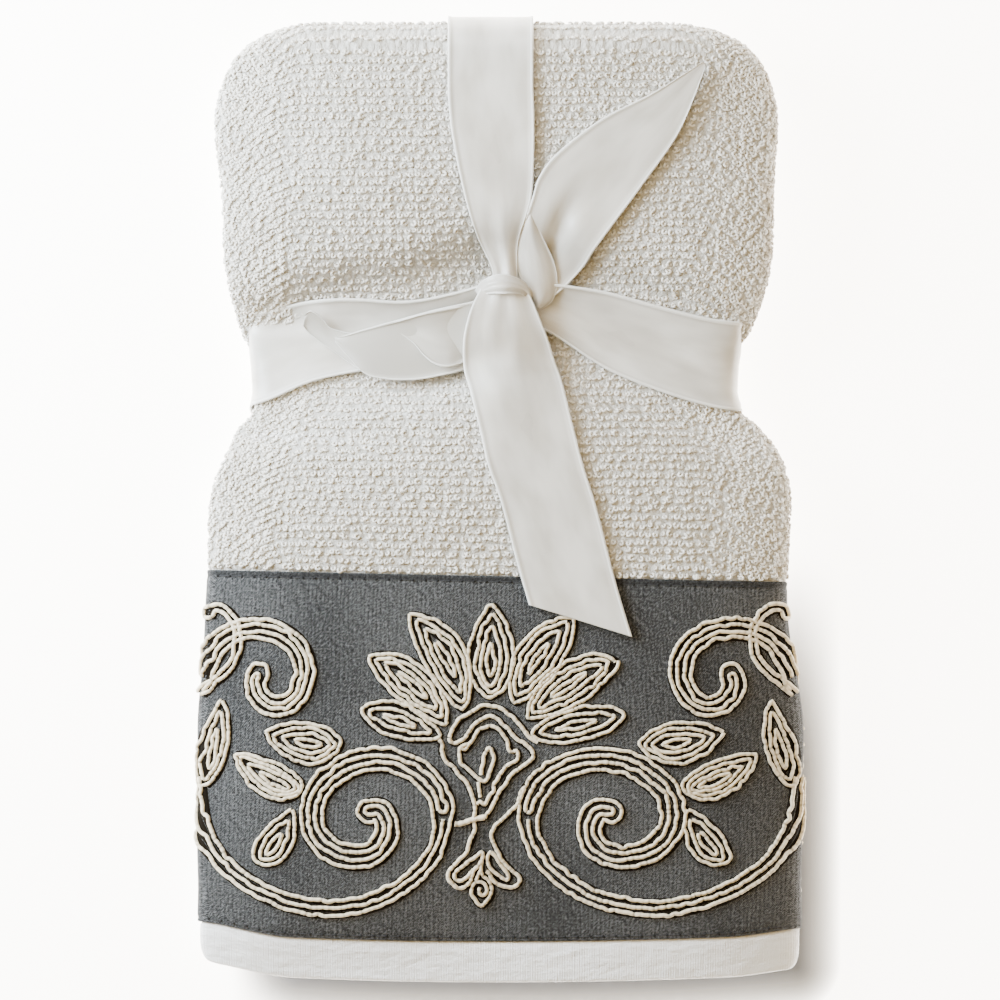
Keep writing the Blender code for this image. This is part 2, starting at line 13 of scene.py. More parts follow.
import bpy
import numpy as np
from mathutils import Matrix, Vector

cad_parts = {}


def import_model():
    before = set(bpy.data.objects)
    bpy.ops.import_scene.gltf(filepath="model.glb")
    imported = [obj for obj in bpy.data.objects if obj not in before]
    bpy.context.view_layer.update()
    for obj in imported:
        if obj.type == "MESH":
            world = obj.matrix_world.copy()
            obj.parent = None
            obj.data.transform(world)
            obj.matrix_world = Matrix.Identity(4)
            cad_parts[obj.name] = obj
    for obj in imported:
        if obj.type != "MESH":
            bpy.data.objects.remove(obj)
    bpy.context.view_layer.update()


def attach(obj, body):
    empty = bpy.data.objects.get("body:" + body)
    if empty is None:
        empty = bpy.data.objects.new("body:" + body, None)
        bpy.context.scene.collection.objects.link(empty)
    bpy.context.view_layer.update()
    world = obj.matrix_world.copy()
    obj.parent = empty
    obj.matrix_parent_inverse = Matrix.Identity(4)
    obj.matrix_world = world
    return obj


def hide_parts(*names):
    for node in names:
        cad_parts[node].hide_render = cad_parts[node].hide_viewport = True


LOG = logging.getLogger("towel")
METRES = 0.001
Array = np.ndarray
Colour = tuple[float, float, float]
Triple = tuple[float, float, float]
Thing = bpy.types.Object
Socket = bpy.types.NodeSocket
Table = tuple[tuple[float, ...], ...]


class Run(NamedTuple):
    """One straight or bend of a folded path. Radius 0 is straight, and a minus one turns right."""

    length: float
    radius: float


class Leaf(NamedTuple):
    """A leaf or petal of nested cord, from its tip to its base, in the band's own face coordinates."""

    tip_s: float
    tip_q: float
    base_s: float
    base_q: float
    half_width: float
    rings: int
    tip_power: float  # 1 makes a sharp end, 0.5 a round one
    base_power: float
    fuller: float  # how much more of its width is on its left, seen from the tip


class Zone(NamedTuple):
    """A stretch of the flat cloth that carries loops."""

    u_start: float
    u_end: float
    v_start: float
    v_end: float


class Slot(Enum):
    """The record's material slots."""

    TERRY = "terry"
    BAND = "band_cloth"
    SATIN = "satin"


def smooth_between(x: Array, points: Any, values: Any) -> Array:
    """A smooth curve through a table's values, level past its ends.

    Args:
        x: where to read the curve.
        points: the table's places, rising.
        values: the table's values.

    Returns:
        The curve's value at each x.
    """
    points, values = np.asarray(points, float), np.asarray(values, float)
    slopes = np.gradient(values, points)
    slopes[0] = slopes[-1] = 0.0
    x = np.clip(x, points[0], points[-1])
    i = np.clip(np.searchsorted(points, x) - 1, 0, len(points) - 2)
    span = points[i + 1] - points[i]
    t = (x - points[i]) / span
    return (
        values[i] * (1 + 2 * t) * (1 - t) ** 2
        + slopes[i] * span * t * (1 - t) ** 2
        + values[i + 1] * t**2 * (3 - 2 * t)
        - slopes[i + 1] * span * t**2 * (1 - t)
    )


def soft_step(x: Any, start: float, end: float) -> Array:
    """0 before start, 1 past end, and smooth between."""
    t = np.clip((np.asarray(x, float) - start) / (end - start), 0, 1)
    return t * t * (3 - 2 * t)


def unit(vectors: Array) -> Array:
    """Vectors at length 1."""
    return vectors / np.linalg.norm(vectors, axis=-1, keepdims=True)


def left_of(ahead: Array) -> Array:
    """Flat directions a quarter turn to the left."""
    return np.stack([-ahead[..., 1], ahead[..., 0]], axis=-1)


def half_circle(centre: Array, ahead: Array, radius: float, steps: int) -> Array:
    """Points from the left of a centre round its front to its right."""
    angles = np.linspace(0, math.pi, steps)[:, None]
    return centre + radius * (left_of(ahead) * np.cos(angles) + ahead * np.sin(angles))


def lengths_along(line: Array) -> Array:
    """How far along a line each of its points is."""
    return np.concatenate([[0], np.cumsum(np.linalg.norm(np.diff(line, axis=0), axis=1))])


def evenly_spaced(line: Array, steps: int, last: bool = True) -> Array:
    """Points at even lengths along a line through some corners, with or without its last point."""
    length = lengths_along(line)
    s = np.linspace(0, length[-1], steps, endpoint=last)
    return np.stack([np.interp(s, length, line[:, k]) for k in range(line.shape[1])], axis=-1)


def along_runs(
    s: Array, start: tuple[float, float], heading: float, runs: tuple[Run, ...]
) -> tuple[Array, Array]:
    """Points and left-hand normals along straights and bends laid end to end.

    Args:
        s: lengths along the path.
        start: the path's first point.
        heading: its first direction, in radians.
        runs: its straights and bends.

    Returns:
        The points and the normals, each with a last axis of 2.
    """
    s = np.asarray(s, float)
    point, angle, done = np.array(start, float), heading, 0.0
    points = np.zeros((*s.shape, 2))
    normals = np.zeros((*s.shape, 2))
    for number, run in enumerate(runs):
        last = number == len(runs) - 1
        here = (s >= done) & ((s <= done + run.length) | last)
        d = s[here] - done
        ahead = np.array([math.cos(angle), math.sin(angle)])
        if run.radius == 0:
            turned = np.full(d.shape, angle)
            points[here] = point + d[..., None] * ahead
            point = point + run.length * ahead
        else:
            centre = point + run.radius * np.array([-math.sin(angle), math.cos(angle)])
            turned = angle + d / run.radius
            points[here] = centre + run.radius * np.stack([np.sin(turned), -np.cos(turned)], axis=-1)
            angle = angle + run.length / run.radius
            point = centre + run.radius * np.array([math.sin(angle), -math.cos(angle)])
        normals[here] = np.stack([-np.sin(turned), np.cos(turned)], axis=-1)
        done += run.length
    return points, normals


@dataclass(frozen=True)
class FoldedStack:
    """Where each place of the flat cloth lies once it is folded in thirds both ways and tied."""

    flat_width: float = 406.0
    flat_length: float = 711.0
    folded_length: float = 240.0
    half_width: float = 76.0
    cloth: float = 2.2
    pitch: float = 2.8
    tuck: float = 0.5
    hem_strip: float = 10.2
    band_depth: float = 91.4
    back_lift: float = 2.5  # the underside's height in the ways of the ribbon
    back_y: float = 32.4
    back_way: tuple[float, float] = (12.5, 18.0)  # half widths at the floor and rim of the way round the waist
    top_ribbon_x: float = -2.3
    top_way: tuple[float, float] = (12.5, 17.0)
    top_corner: tuple[float, float] = (29.0, 31.0)  # widths of the left and right corners at the folded top
    top_corner_length: float = 26.0
    low_corner: tuple[float, float] = (4.8, 3.8)
    narrower_below: float = 1.1  # how much less the lowest layer's half width is
    hem_curl: tuple[float, float] = (2.4, 2.2)  # how far the hem's ends curl up, left and right
    corner_lift: tuple[float, float] = (2.7, 1.2)
    band_tilt: float = 0.02
    centre: tuple[float, float] = (0.10, 0.81)

    # Half widths of the stack to the left and right, after their y
    SECTIONS: ClassVar[Table] = (
        (-120, 75.4, 75.1), (-85, 75.9, 75.7), (-66, 75.7, 76.0), (-45, 74.7, 74.7), (-25, 73.7, 72.0),
        (-6, 73.0, 72.7), (5, 71.0, 72.0), (13, 68.0, 69.2), (18.5, 65.6, 65.0), (22.5, 62.2, 60.4),
        (32, 61.4, 58.6), (38.5, 62.6, 59.8), (42, 65.0, 62.4), (46.5, 66.4, 64.4), (53, 67.8, 66.4),
        (70, 69.2, 68.2), (88, 71.2, 69.4), (120, 71.2, 69.8),
    )
    # Heights of the face, after how far up from the tie's line
    HEIGHTS: ClassVar[Table] = (
        (-160, 17.0), (-140, 20.0), (-105, 23.0), (-65, 25.0), (-34, 25.0), (-22, 22.5), (-14, 17.6),
        (-8, 16.4), (8, 16.4), (13, 18.4), (19, 23.4), (30, 26.0), (55, 26.0), (90, 22.5),
    )
    # x and y of the tie's line on the face, and how far the ribbon reaches above and below it
    TIE_LINE: ClassVar[Table] = (
        (-70, 33.0, 13.6, 9.0), (-60, 33.8, 13.6, 9.2), (-48, 38.0, 12.2, 8.2), (-36, 41.0, 9.8, 8.5),
        (-24, 42.5, 7.5, 8.0), (-10, 47.0, 5.5, 6.6), (1, 51.0, 4.6, 4.6), (12, 48.5, 6.0, 6.0),
        (26, 43.0, 9.6, 9.6), (40, 38.0, 10.8, 10.4), (56, 32.8, 12.4, 9.7), (70, 31.8, 12.8, 9.2),
    )

    @property
    def thickness(self) -> float:
        """The square stack's height, nine layers."""
        return 8 * self.pitch + self.cloth

    @property
    def group_turn(self) -> float:
        """Radius of the bends between the groups of three layers."""
        return 1.5 * self.pitch

    @property
    def left_bend_x(self) -> float:
        """X where the left bend begins."""
        return -(self.half_width - self.pitch / 2 - self.cloth / 2)

    @property
    def right_bend_x(self) -> float:
        """X where the right bend begins."""
        return self.half_width - self.pitch - self.cloth / 2

    @property
    def front_run(self) -> float:
        """Width of the front panel between its bends."""
        return self.right_bend_x - self.left_bend_x

    @property
    def flap_run(self) -> float:
        """Width of each flap."""
        return (self.flat_width - self.front_run - 1.5 * self.pitch * math.pi) / 2

    @property
    def left_bend(self) -> float:
        """Length of cloth in the left bend."""
        return math.pi * self.pitch / 2

    @property
    def right_bend(self) -> float:
        """Length of cloth in the right bend."""
        return math.pi * self.pitch

    @property
    def front_start(self) -> float:
        """u where the front panel begins."""
        return self.flap_run + self.left_bend

    @property
    def front_end(self) -> float:
        """u where the front panel ends."""
        return self.front_start + self.front_run

    @property
    def hem_y(self) -> float:
        """Y of the hem that shows."""
        return -self.folded_length / 2

    @property
    def group_reach(self) -> float:
        """How far a group's outer face stands out past the start of its bend."""
        return self.group_turn + self.pitch + self.cloth / 2

    @property
    def first_run(self) -> float:
        """Length of the face, from the hem to the top bend."""
        return self.folded_length - self.group_reach

    @property
    def middle_run(self) -> float:
        """Length of the run behind the face."""
        return self.folded_length - 2 * self.group_reach - self.tuck

    @property
    def group_bend(self) -> float:
        """Length of cloth in each bend along the towel."""
        return math.pi * self.group_turn

    @property
    def last_run(self) -> float:
        """Length of the run at the back."""
        return self.flat_length - self.first_run - self.middle_run - 2 * self.group_bend

    def fold(self, u: Array, v: Array, w: Array) -> Array:
        """The flat place (u, v, w) in the square stack, before it settles.

        Args:
            u, v, w: places across the flat cloth, along it and out of it.

        Returns:
            Points, with a last axis of x, y and z.
        """
        across_runs = (
            Run(self.flap_run, 0),
            Run(self.left_bend, -self.pitch / 2),
            Run(self.front_run, 0),
            Run(self.right_bend, -self.pitch),
            Run(self.flap_run, 0),
        )
        along = (
            Run(self.first_run, 0),
            Run(self.group_bend, -self.group_turn),
            Run(self.middle_run, 0),
            Run(self.group_bend, self.group_turn),
            Run(self.last_run, 0),
        )
        a, an = along_runs(u, (self.left_bend_x + self.flap_run, 0.0), math.pi, across_runs)
        b, bn = along_runs(v, (self.hem_y, self.thickness - self.pitch - self.cloth / 2), 0.0, along)
        out = a[..., 1] + w * an[..., 1]
        x = a[..., 0] + w * an[..., 0]
        return np.stack([x, b[..., 0] + out * bn[..., 0], b[..., 1] + out * bn[..., 1]], axis=-1)

    def tie_line(self, x: Array) -> Array:
        """Y of the tie's line on the face."""
        places, line, _, _ = np.array(self.TIE_LINE).T
        return smooth_between(x, places, line)

    def face_height(self, x: Array, y: Array) -> Array:
        """Height of the stack's face, with its crown, its waist and its unevenness."""
        top = smooth_between(y - self.tie_line(x), *np.array(self.HEIGHTS).T)
        rim = np.abs(x) / self.half_width
        crown = 1 - 0.3 * rim**5 - 0.04 * rim**2
        dent = 1.1 * np.exp(-(((x + 56) / 12) ** 2) - ((y - 86) / 9) ** 2)
        crease = 1.2 * np.exp(-(((x + 42) / 16) ** 2) - ((y - 16) / 3.5) ** 2)
        uneven = 0.35 * np.sin(x / 17 + y / 29 + 1.3) + 0.3 * np.sin(y / 14 - x / 23)
        return top * crown + uneven - dent - crease

    def underside(self, x: Array, y: Array) -> Array:
        """Height of the stack's underside: flat, but for the ways of the ribbon."""
        floor, rim = self.back_way
        past = soft_step(y, self.back_y - rim, self.back_y - floor)
        waist = past - soft_step(y, self.back_y + floor, self.back_y + rim)
        trough = (1 - soft_step(np.abs(x - self.top_ribbon_x), *self.top_way)) * past
        return self.back_lift * np.maximum(waist, trough)

    @staticmethod
    def round_corner(
        x: Array, y: Array, side: int, box: tuple[float, float, float, float]
    ) -> tuple[Array, Array]:
        """Round one corner of the outline.

        Args:
            x, y: the places to move.
            side: -1 for the left and 1 for the right.
            box: the corner's x start and end and y start and end.

        Returns:
            The moved x and y.
        """
        x_start, x_end, y_start, y_end = box
        p = np.clip((side * x - x_start) / (x_end - x_start), 0, None)
        q = np.clip((y - y_start) / (y_end - y_start), 0, None)
        inside = (p > 0) & (q > 0)
        rounder = 0.45  # 0.5 would make the corner of a square a circle's
        p2 = p * np.sqrt(np.clip(1 - rounder * q * q, 0, 1))
        q2 = q * np.sqrt(np.clip(1 - rounder * p * p, 0, 1))
        x = np.where(inside, side * (x_start + p2 * (x_end - x_start)), x)
        y = np.where(inside, y_start + q2 * (y_end - y_start), y)
        return x, y

    def half_widths(self, y: Array) -> tuple[Array, Array]:
        """Half widths to the left and right at y."""
        places, left, right = np.array(self.SECTIONS).T
        return smooth_between(y, places, left), smooth_between(y, places, right)

    def bow(self, x: Array, y: Array) -> Array:
        """How far up a place of the lower end moves, where the hem's ends curl and the band tilts."""
        low_part = soft_step(-y, 60, 118)
        band_part = soft_step(-y, -15, 12) * (1 - soft_step(-y, 40, 90))
        left_lift, right_lift = self.corner_lift
        lift = left_lift * soft_step(-x, 52, 76) + right_lift * soft_step(x, 58, 77)
        curl = low_part * np.where(x < 0, *self.hem_curl) * (x / self.half_width) ** 2
        return curl - band_part * self.band_tilt * x + lift * soft_step(-y, 85, 112)

    def settle(self, points: Array) -> Array:
        """Give the square stack its waist, crown, rounded corners and unevenness.

        Args:
            points: places in the square stack.

        Returns:
            The places in the tied towel.
        """
        x, y, z = (points[..., k] for k in range(3))
        depth = z / self.thickness
        top_end, low_end, half = self.folded_length / 2, self.hem_y, self.half_width
        top_start = top_end - self.top_corner_length
        for side, wide, low in zip((-1, 1), self.top_corner, self.low_corner):
            x, y = self.round_corner(x, y, side, (half - wide, half, top_start, top_end))
            x, y = self.round_corner(x, y, side, (half - low, half, low_end + low, low_end))
        left, right = self.half_widths(y)
        wave = 0.5 * np.sin(y / 9.0 + 1.0) + 0.35 * np.sin(y / 4.7 + 8 * depth)
        middle = (left + right) / 2 - self.narrower_below * (1 - depth)
        new_x = (right - left) / 2 + x * middle / half + wave * x / half * 0.6 + 0.5 * (1 - depth)
        new_y = y + self.bow(x, y)
        low = self.underside(new_x, new_y)
        return np.stack([new_x, new_y, low + depth * (self.face_height(new_x, new_y) - low)], axis=-1)

    def place(self, u: Array, v: Array, w: Array) -> Array:
        """The flat place (u, v, w) in the folded and tied towel."""
        u, v, w = np.broadcast_arrays(np.asarray(u, float), v, w)
        return self.settle(self.fold(u, v, w))

    def directions(self, u: Array, v: Array, w: float) -> tuple[Array, Array, Array]:
        """Directions across the cloth, along it and out of it at flat places.

        Args:
            u, v: the flat places.
            w: their height in the cloth.

        Returns:
            The three directions, each at length 1.
        """
        step = 0.2
        across = self.place(u + step, v, w) - self.place(u - step, v, w)
        along = self.place(u, v + step, w) - self.place(u, v - step, w)
        return unit(across), unit(along), unit(np.cross(across, along))

    def placed(self, points: Array) -> Array:
        """Points in metres about the middle of the part's box."""
        return (points - np.array([*self.centre, 0.0])) * METRES


# ---- node graphs


class Graph:
    """A node tree, and the one way in which nodes are added to it."""

    def __init__(self, tree: bpy.types.NodeTree) -> None:
        """Start on a tree."""
        self.tree = tree

    def node(
        self, kind: str, settings: dict[str, Any] | None = None, sockets: dict[Any, Any] | None = None
    ) -> bpy.types.Node:
        """Add a node.

        Args:
            kind: its type.
            settings: its own properties, set first.
            sockets: values or links for its inputs, by name or number.

        Returns:
            The node.
        """
        made = self.tree.nodes.new(kind)
        for name, value in (settings or {}).items():
            setattr(made, name, value)
        for name, value in (sockets or {}).items():
            socket = made.inputs[name]
            if isinstance(value, Wire):
                value = value.socket
            if isinstance(value, Socket):
                self.tree.links.new(value, socket)
            else:
                socket.default_value = value
        return made


class Wire:
    """A number's socket, which adds Math nodes where it stands in an expression."""

    def __init__(self, graph: Graph, socket: Socket) -> None:
        """Wrap a socket of a graph."""
        self.graph, self.socket = graph, socket

    def math(self, operation: str, *values: Any) -> "Wire":
        """The result of a Math node on some values or wires."""
        made = self.graph.node("ShaderNodeMath", {"operation": operation}, dict(enumerate(values)))
        return Wire(self.graph, made.outputs[0])

    def __add__(self, other: Any) -> "Wire":
        """Sum."""
        return self.math("ADD", self, other)

    __radd__ = __add__

    def __sub__(self, other: Any) -> "Wire":
        """Difference."""
        return self.math("SUBTRACT", self, other)

    def __rsub__(self, other: Any) -> "Wire":
        """Difference, from a number."""
        return self.math("SUBTRACT", other, self)

    def __mul__(self, other: Any) -> "Wire":
        """Product."""
        return self.math("MULTIPLY", self, other)

    __rmul__ = __mul__

    def __pow__(self, other: Any) -> "Wire":
        """Power."""
        return self.math("POWER", self, other)

    def between(self, low: float, high: float) -> "Wire":
        """0 below low, 1 above high and smooth between."""
        made = self.graph.node(
            "ShaderNodeMapRange",
            {"interpolation_type": "SMOOTHSTEP"},
            {"Value": self, "From Min": low, "From Max": high},
        )
        return Wire(self.graph, made.outputs["Result"])

    def sine(self, period: float) -> "Wire":
        """Sine of the value, which repeats after a period."""
        return self.math("SINE", self * (2 * math.pi / period))

    def at_least(self, low: float) -> "Wire":
        """The value, or low where it is less."""
        return self.math("MAXIMUM", self, low)

    def absolute(self) -> "Wire":
        """The value without its sign."""
        return self.math("ABSOLUTE", self)

    def exponential(self) -> "Wire":
        """e to the power of the value."""
        return self.math("EXPONENT", self)


@dataclass(frozen=True)
class Coat:
    """A finish's constants on the shader's own sockets."""

    roughness: float
    sheen: float = 0.0
    specular: float = 0.5
    anisotropy: float = 0.0


class Finish(Graph):
    """A material under way: its nodes, its shader and where on the piece it reads."""

    def __init__(self, name: str, coat: Coat) -> None:
        """Start a material with a shader and a coat."""
        self.material = bpy.data.materials.new(name)
        self.material.use_nodes = True
        super().__init__(self.material.node_tree)
        self.shader = self.tree.nodes["Principled BSDF"]
        constants = {
            "Roughness": coat.roughness,
            "Sheen Weight": coat.sheen,
            "Specular IOR Level": coat.specular,
            "Anisotropic": coat.anisotropy,
        }
        for socket, value in constants.items():
            self.shader.inputs[socket].default_value = value

    def attribute(self, name: str, output: str = "Vector") -> Socket:
        """The piece's own attribute, as a vector unless another output is named."""
        made = self.node("ShaderNodeAttribute", {"attribute_type": "GEOMETRY", "attribute_name": name})
        return made.outputs[output]

    def number(self, name: str) -> Wire:
        """The piece's own attribute, as a number."""
        return Wire(self, self.attribute(name, "Fac"))

    def position(self) -> Socket:
        """Object coordinates, in metres."""
        return self.node("ShaderNodeTexCoord").outputs["Object"]

    def apart(self, vector: Socket) -> tuple[Wire, Wire, Wire]:
        """The three numbers of a vector."""
        made = self.node("ShaderNodeSeparateXYZ", None, {0: vector})
        return tuple(Wire(self, made.outputs[k]) for k in range(3))

    def scaled(self, vector: Socket, scale: Triple) -> Socket:
        """A vector times a scale on each axis."""
        made = self.node("ShaderNodeVectorMath", {"operation": "MULTIPLY"}, {0: vector, 1: scale})
        return made.outputs["Vector"]

    def streaks(self, vector: Socket, scale: Triple, *rest: float) -> Wire:
        """A noise's value at a vector that is scaled by axis first, which draws it out."""
        return self.noise(self.scaled(vector, scale), 1.0, *rest)

    def noise(self, vector: Socket, scale: float, detail: float = 2.0, rough: float = 0.5) -> Wire:
        """A noise's value at a vector."""
        sockets = {"Vector": vector, "Scale": scale, "Detail": detail, "Roughness": rough}
        return Wire(self, self.node("ShaderNodeTexNoise", None, sockets).outputs["Fac"])

    def mixed(self, amount: Wire, one: Colour | Socket, other: Colour | Socket) -> Socket:
        """A colour between two, by an amount."""
        first, second = ((*c, 1.0) if isinstance(c, tuple) else c for c in (one, other))
        made = self.node("ShaderNodeMix", {"data_type": "RGBA"}, {"Factor": amount, 6: first, 7: second})
        return made.outputs[2]

    def bump(self, height: Wire, distance: float, strength: float = 1.0) -> None:
        """Raise the surface by a height, in metres times distance."""
        sockets = {"Height": height, "Distance": distance, "Strength": strength}
        made = self.node("ShaderNodeBump", None, sockets)
        self.tree.links.new(made.outputs["Normal"], self.shader.inputs["Normal"])

    def colour(self, socket: Socket) -> None:
        """Link the base colour."""
        self.tree.links.new(socket, self.shader.inputs["Base Color"])

    def roughness(self, wire: Wire) -> None:
        """Link the roughness."""
        self.tree.links.new(wire.socket, self.shader.inputs["Roughness"])


@dataclass(frozen=True)
class LoopYarn:
    """The white cotton of the loops."""

    light: Colour = (0.94, 0.905, 0.85)
    shade: Colour = (0.80, 0.76, 0.695)
    # A painted highlight, paler, on the loops in the crease, and painted shade, duller, on the loops in the
    # dent.
    crease_highlight_dent_shade: Colour = (0.97, 0.97, 0.99)
    dent_shade: Colour = (0.80, 0.785, 0.76)

    def material(self) -> bpy.types.Material:
        """Soft matt yarn, each loop of its own slight tone, with a painted highlight in the crease and painted
        shade in the dent.
        """
        finish = Finish("loop_yarn", Coat(0.9, sheen=0.25, specular=0.25))
        fibre = finish.noise(finish.position(), 2600.0, 3.0)
        amount = (finish.number("tone") * 0.75 + fibre * 0.25).between(0.05, 0.85)
        plain = finish.mixed(amount, self.shade, self.light)
        # Painted light and shade: the attribute is above 0 in the crease, for a painted highlight, and below 0
        # in the dent, for painted shade.
        place = finish.number("crease_highlight_dent_shade")
        paler = finish.mixed(place.between(0.1, 0.9), plain, self.crease_highlight_dent_shade)
        finish.colour(finish.mixed((0 - place).between(0.1, 0.9), paler, self.dent_shade))
        finish.bump(fibre, 0.0002, 0.5)
        return finish.material


@dataclass(frozen=True)
class GroundCloth:
    """The towel's woven ground: pebbled between the loops, finely ribbed at the hem."""

    # The pile's ground and the gaps between its pebbles are painted darker than the hem's plain white, as
    # shade under and between the loops; the crease is painted paler, as a highlight.
    pile: Colour = (0.82, 0.80, 0.765)
    gap_shade: Colour = (0.58, 0.555, 0.51)
    plain: Colour = (0.985, 0.97, 0.975)
    crease_highlight_dent_shade: Colour = (0.96, 0.96, 0.98)
    plain_end: float = 101.6  # v where the pile begins
    pebbles: float = 0.62  # to a millimetre
    rib: float = 0.62

    def material(self) -> bpy.types.Material:
        """The ground's colour and weave, read from the flat cloth's own millimetres, with painted shade under
        the loops and a painted highlight in the crease.
        """
        finish = Finish("ground_cloth", Coat(0.92, sheen=0.15, specular=0.2))
        flat = finish.attribute("flat")
        u, v, _ = finish.apart(flat)
        piled = v.between(self.plain_end - 0.4, self.plain_end + 0.4)
        sockets = {"Vector": flat, "Scale": self.pebbles, "Randomness": 0.8}
        cell = finish.node("ShaderNodeTexVoronoi", {"feature": "F1"}, sockets)
        pebble = 1 - Wire(finish, cell.outputs["Distance"])
        curl = finish.noise(flat, 1.6, 4.0, 0.6)
        rib = u.sine(self.rib) * 0.25 + finish.streaks(flat, (1.8, 0.15, 1))
        fine = finish.noise(flat, 5.0, 3.0)
        wrinkles = finish.streaks(flat, (0.22, 0.5, 1))
        plain_height = rib * 0.14 + fine * 0.16 + wrinkles * 0.9
        height = (pebble * 1.1 + curl * 0.7) * piled + plain_height * (1 - piled)
        # Painted shade: the pile's ground is darker in the gaps between its pebbles.
        pile = finish.mixed((pebble * 0.6 + curl * 0.5).between(0.35, 0.85), self.gap_shade, self.pile)
        duller = tuple(c * 0.95 for c in self.plain)
        white = finish.mixed(fine.between(0.2, 0.8), duller, self.plain)
        cloth = finish.mixed(piled, white, pile)
        # Painted highlight: paler in the crease.
        crease = finish.number("crease_highlight_dent_shade").between(0.2, 0.8)
        finish.colour(finish.mixed(crease, cloth, self.crease_highlight_dent_shade))
        finish.bump(height * (1 - crease * 0.7), METRES, 0.8)
        return finish.material


@dataclass(frozen=True)
class SlateWeave:
    """The grey band's slubby cotton."""

    dark: Colour = (0.0066, 0.0067, 0.0073)
    light: Colour = (0.163, 0.166, 0.173)
    hole: Colour = (0.006, 0.006, 0.006)
    rib: float = 1.05
    course: float = 0.66
    twill: float = 0.62
    turned_edge: float = 89.9  # v where the seam of the turned edge begins, and past it the painted shadow under the loops

    def material(self) -> bpy.types.Material:
        """Upright ribs with a line of tiny dark holes between each two, fine slubs, and a painted shadow along
        the turned top edge.
        """
        finish = Finish("slate_weave", Coat(0.88, sheen=0.12, specular=0.25))
        flat = finish.attribute("flat")
        u, v, _ = finish.apart(flat)
        wander = finish.streaks(flat, (0.45, 0.10, 1))
        shift = finish.streaks(flat, (0.9, 0.3, 1), 1.0)
        rib = (u + wander * 1.1).sine(self.rib)
        course = (v + shift * 2.2).sine(self.course)
        twill = (u * 1.3 + v).sine(self.twill)
        grain = finish.streaks(flat, (3.0, 2.0, 1), 3.0, 0.75)
        slub = finish.streaks(flat, (1.3, 0.25, 1), 2.0, 0.6)
        slanted = finish.node("ShaderNodeCombineXYZ", None, {0: (u - v) * 2.4, 1: (u + v) * 0.65})
        stroke = finish.noise(slanted.outputs[0], 1.0, 2.0, 0.6)
        broad = finish.streaks(flat, (0.03, 0.02, 1))
        tone = twill * 0.05 + grain * 0.6 + stroke * 0.65 + slub * 0.15 + broad * 0.2
        body = finish.mixed(tone.between(0.66, 1.02), self.dark, self.light)
        holes = (0 - rib).between(0.2, 0.8) * course.between(-0.3, 0.3) * slub.between(0.30, 0.52)
        # Painted shadow: the turned edge above the top seam is darker, as the shade of the loops that hang
        # over it.
        edge = v.between(self.turned_edge - 0.3, self.turned_edge + 0.3)
        pierced = finish.mixed(holes * 0.9, body, self.hole)
        finish.colour(finish.mixed(edge * 0.6, pierced, self.dark))
        finish.bump(twill * 0.03 + grain * 0.15 + stroke * 0.12 - holes * 0.14, METRES, 0.8)
        return finish.material


@dataclass(frozen=True)
class EcruCord:
    """The unbleached cotton cord that is sewn to the band."""

    light: Colour = (0.97, 0.845, 0.64)
    dark: Colour = (0.20, 0.15, 0.09)

    def material(self) -> bpy.types.Material:
        """Cord with fine fibres, painted a little darker where it is nipped, as shade in the nips."""
        finish = Finish("ecru_cord", Coat(0.85, sheen=0.2, specular=0.3))
        where = finish.position()
        fibre = finish.noise(where, 1900.0, 3.0, 0.6)
        patch = finish.noise(where, 90.0)
        # Painted shade: the attribute full is low in each nip, which darkens the colour there.
        amount = (finish.number("full") * 0.55 + fibre * 0.55 + patch * 0.3).between(0.25, 1.1)
        finish.colour(finish.mixed(amount, self.dark, self.light))
        finish.bump(fibre, 0.0003, 0.8)
        return finish.material


@dataclass(frozen=True)
class CordShadowSheet:
    """Painted shadow: the dark sheet under the cords, which shows between them."""

    light: Colour = (0.014, 0.010, 0.006)
    dark: Colour = (0.003, 0.002, 0.001)

    def material(self) -> bpy.types.Material:
        """Nearly black brown painted shadow, with short fibres."""
        finish = Finish("cord_shadow_sheet", Coat(0.95, specular=0.1))
        fibre = finish.noise(finish.position(), 1500.0, 3.0)
        finish.colour(finish.mixed(fibre, self.dark, self.light))
        finish.bump(fibre, 0.0002, 0.6)
        return finish.material


@dataclass(frozen=True)
class DarkThread:
    """The dark thread of the seams and the needle holes."""

    thread: Colour = (0.030, 0.030, 0.032)
    hole: Colour = (0.006, 0.006, 0.006)

    def material(self) -> bpy.types.Material:
        """Thin dark thread with a little variation along it, black in the needle holes."""
        finish = Finish("dark_thread", Coat(0.7, specular=0.3))
        ply = finish.noise(finish.position(), 2500.0)
        paler = tuple(c * 1.6 for c in self.thread)
        twist = finish.mixed(ply, self.thread, paler)
        finish.colour(finish.mixed(finish.number("hole"), twist, self.hole))
        finish.bump(ply, 0.0001, 0.5)
        return finish.material


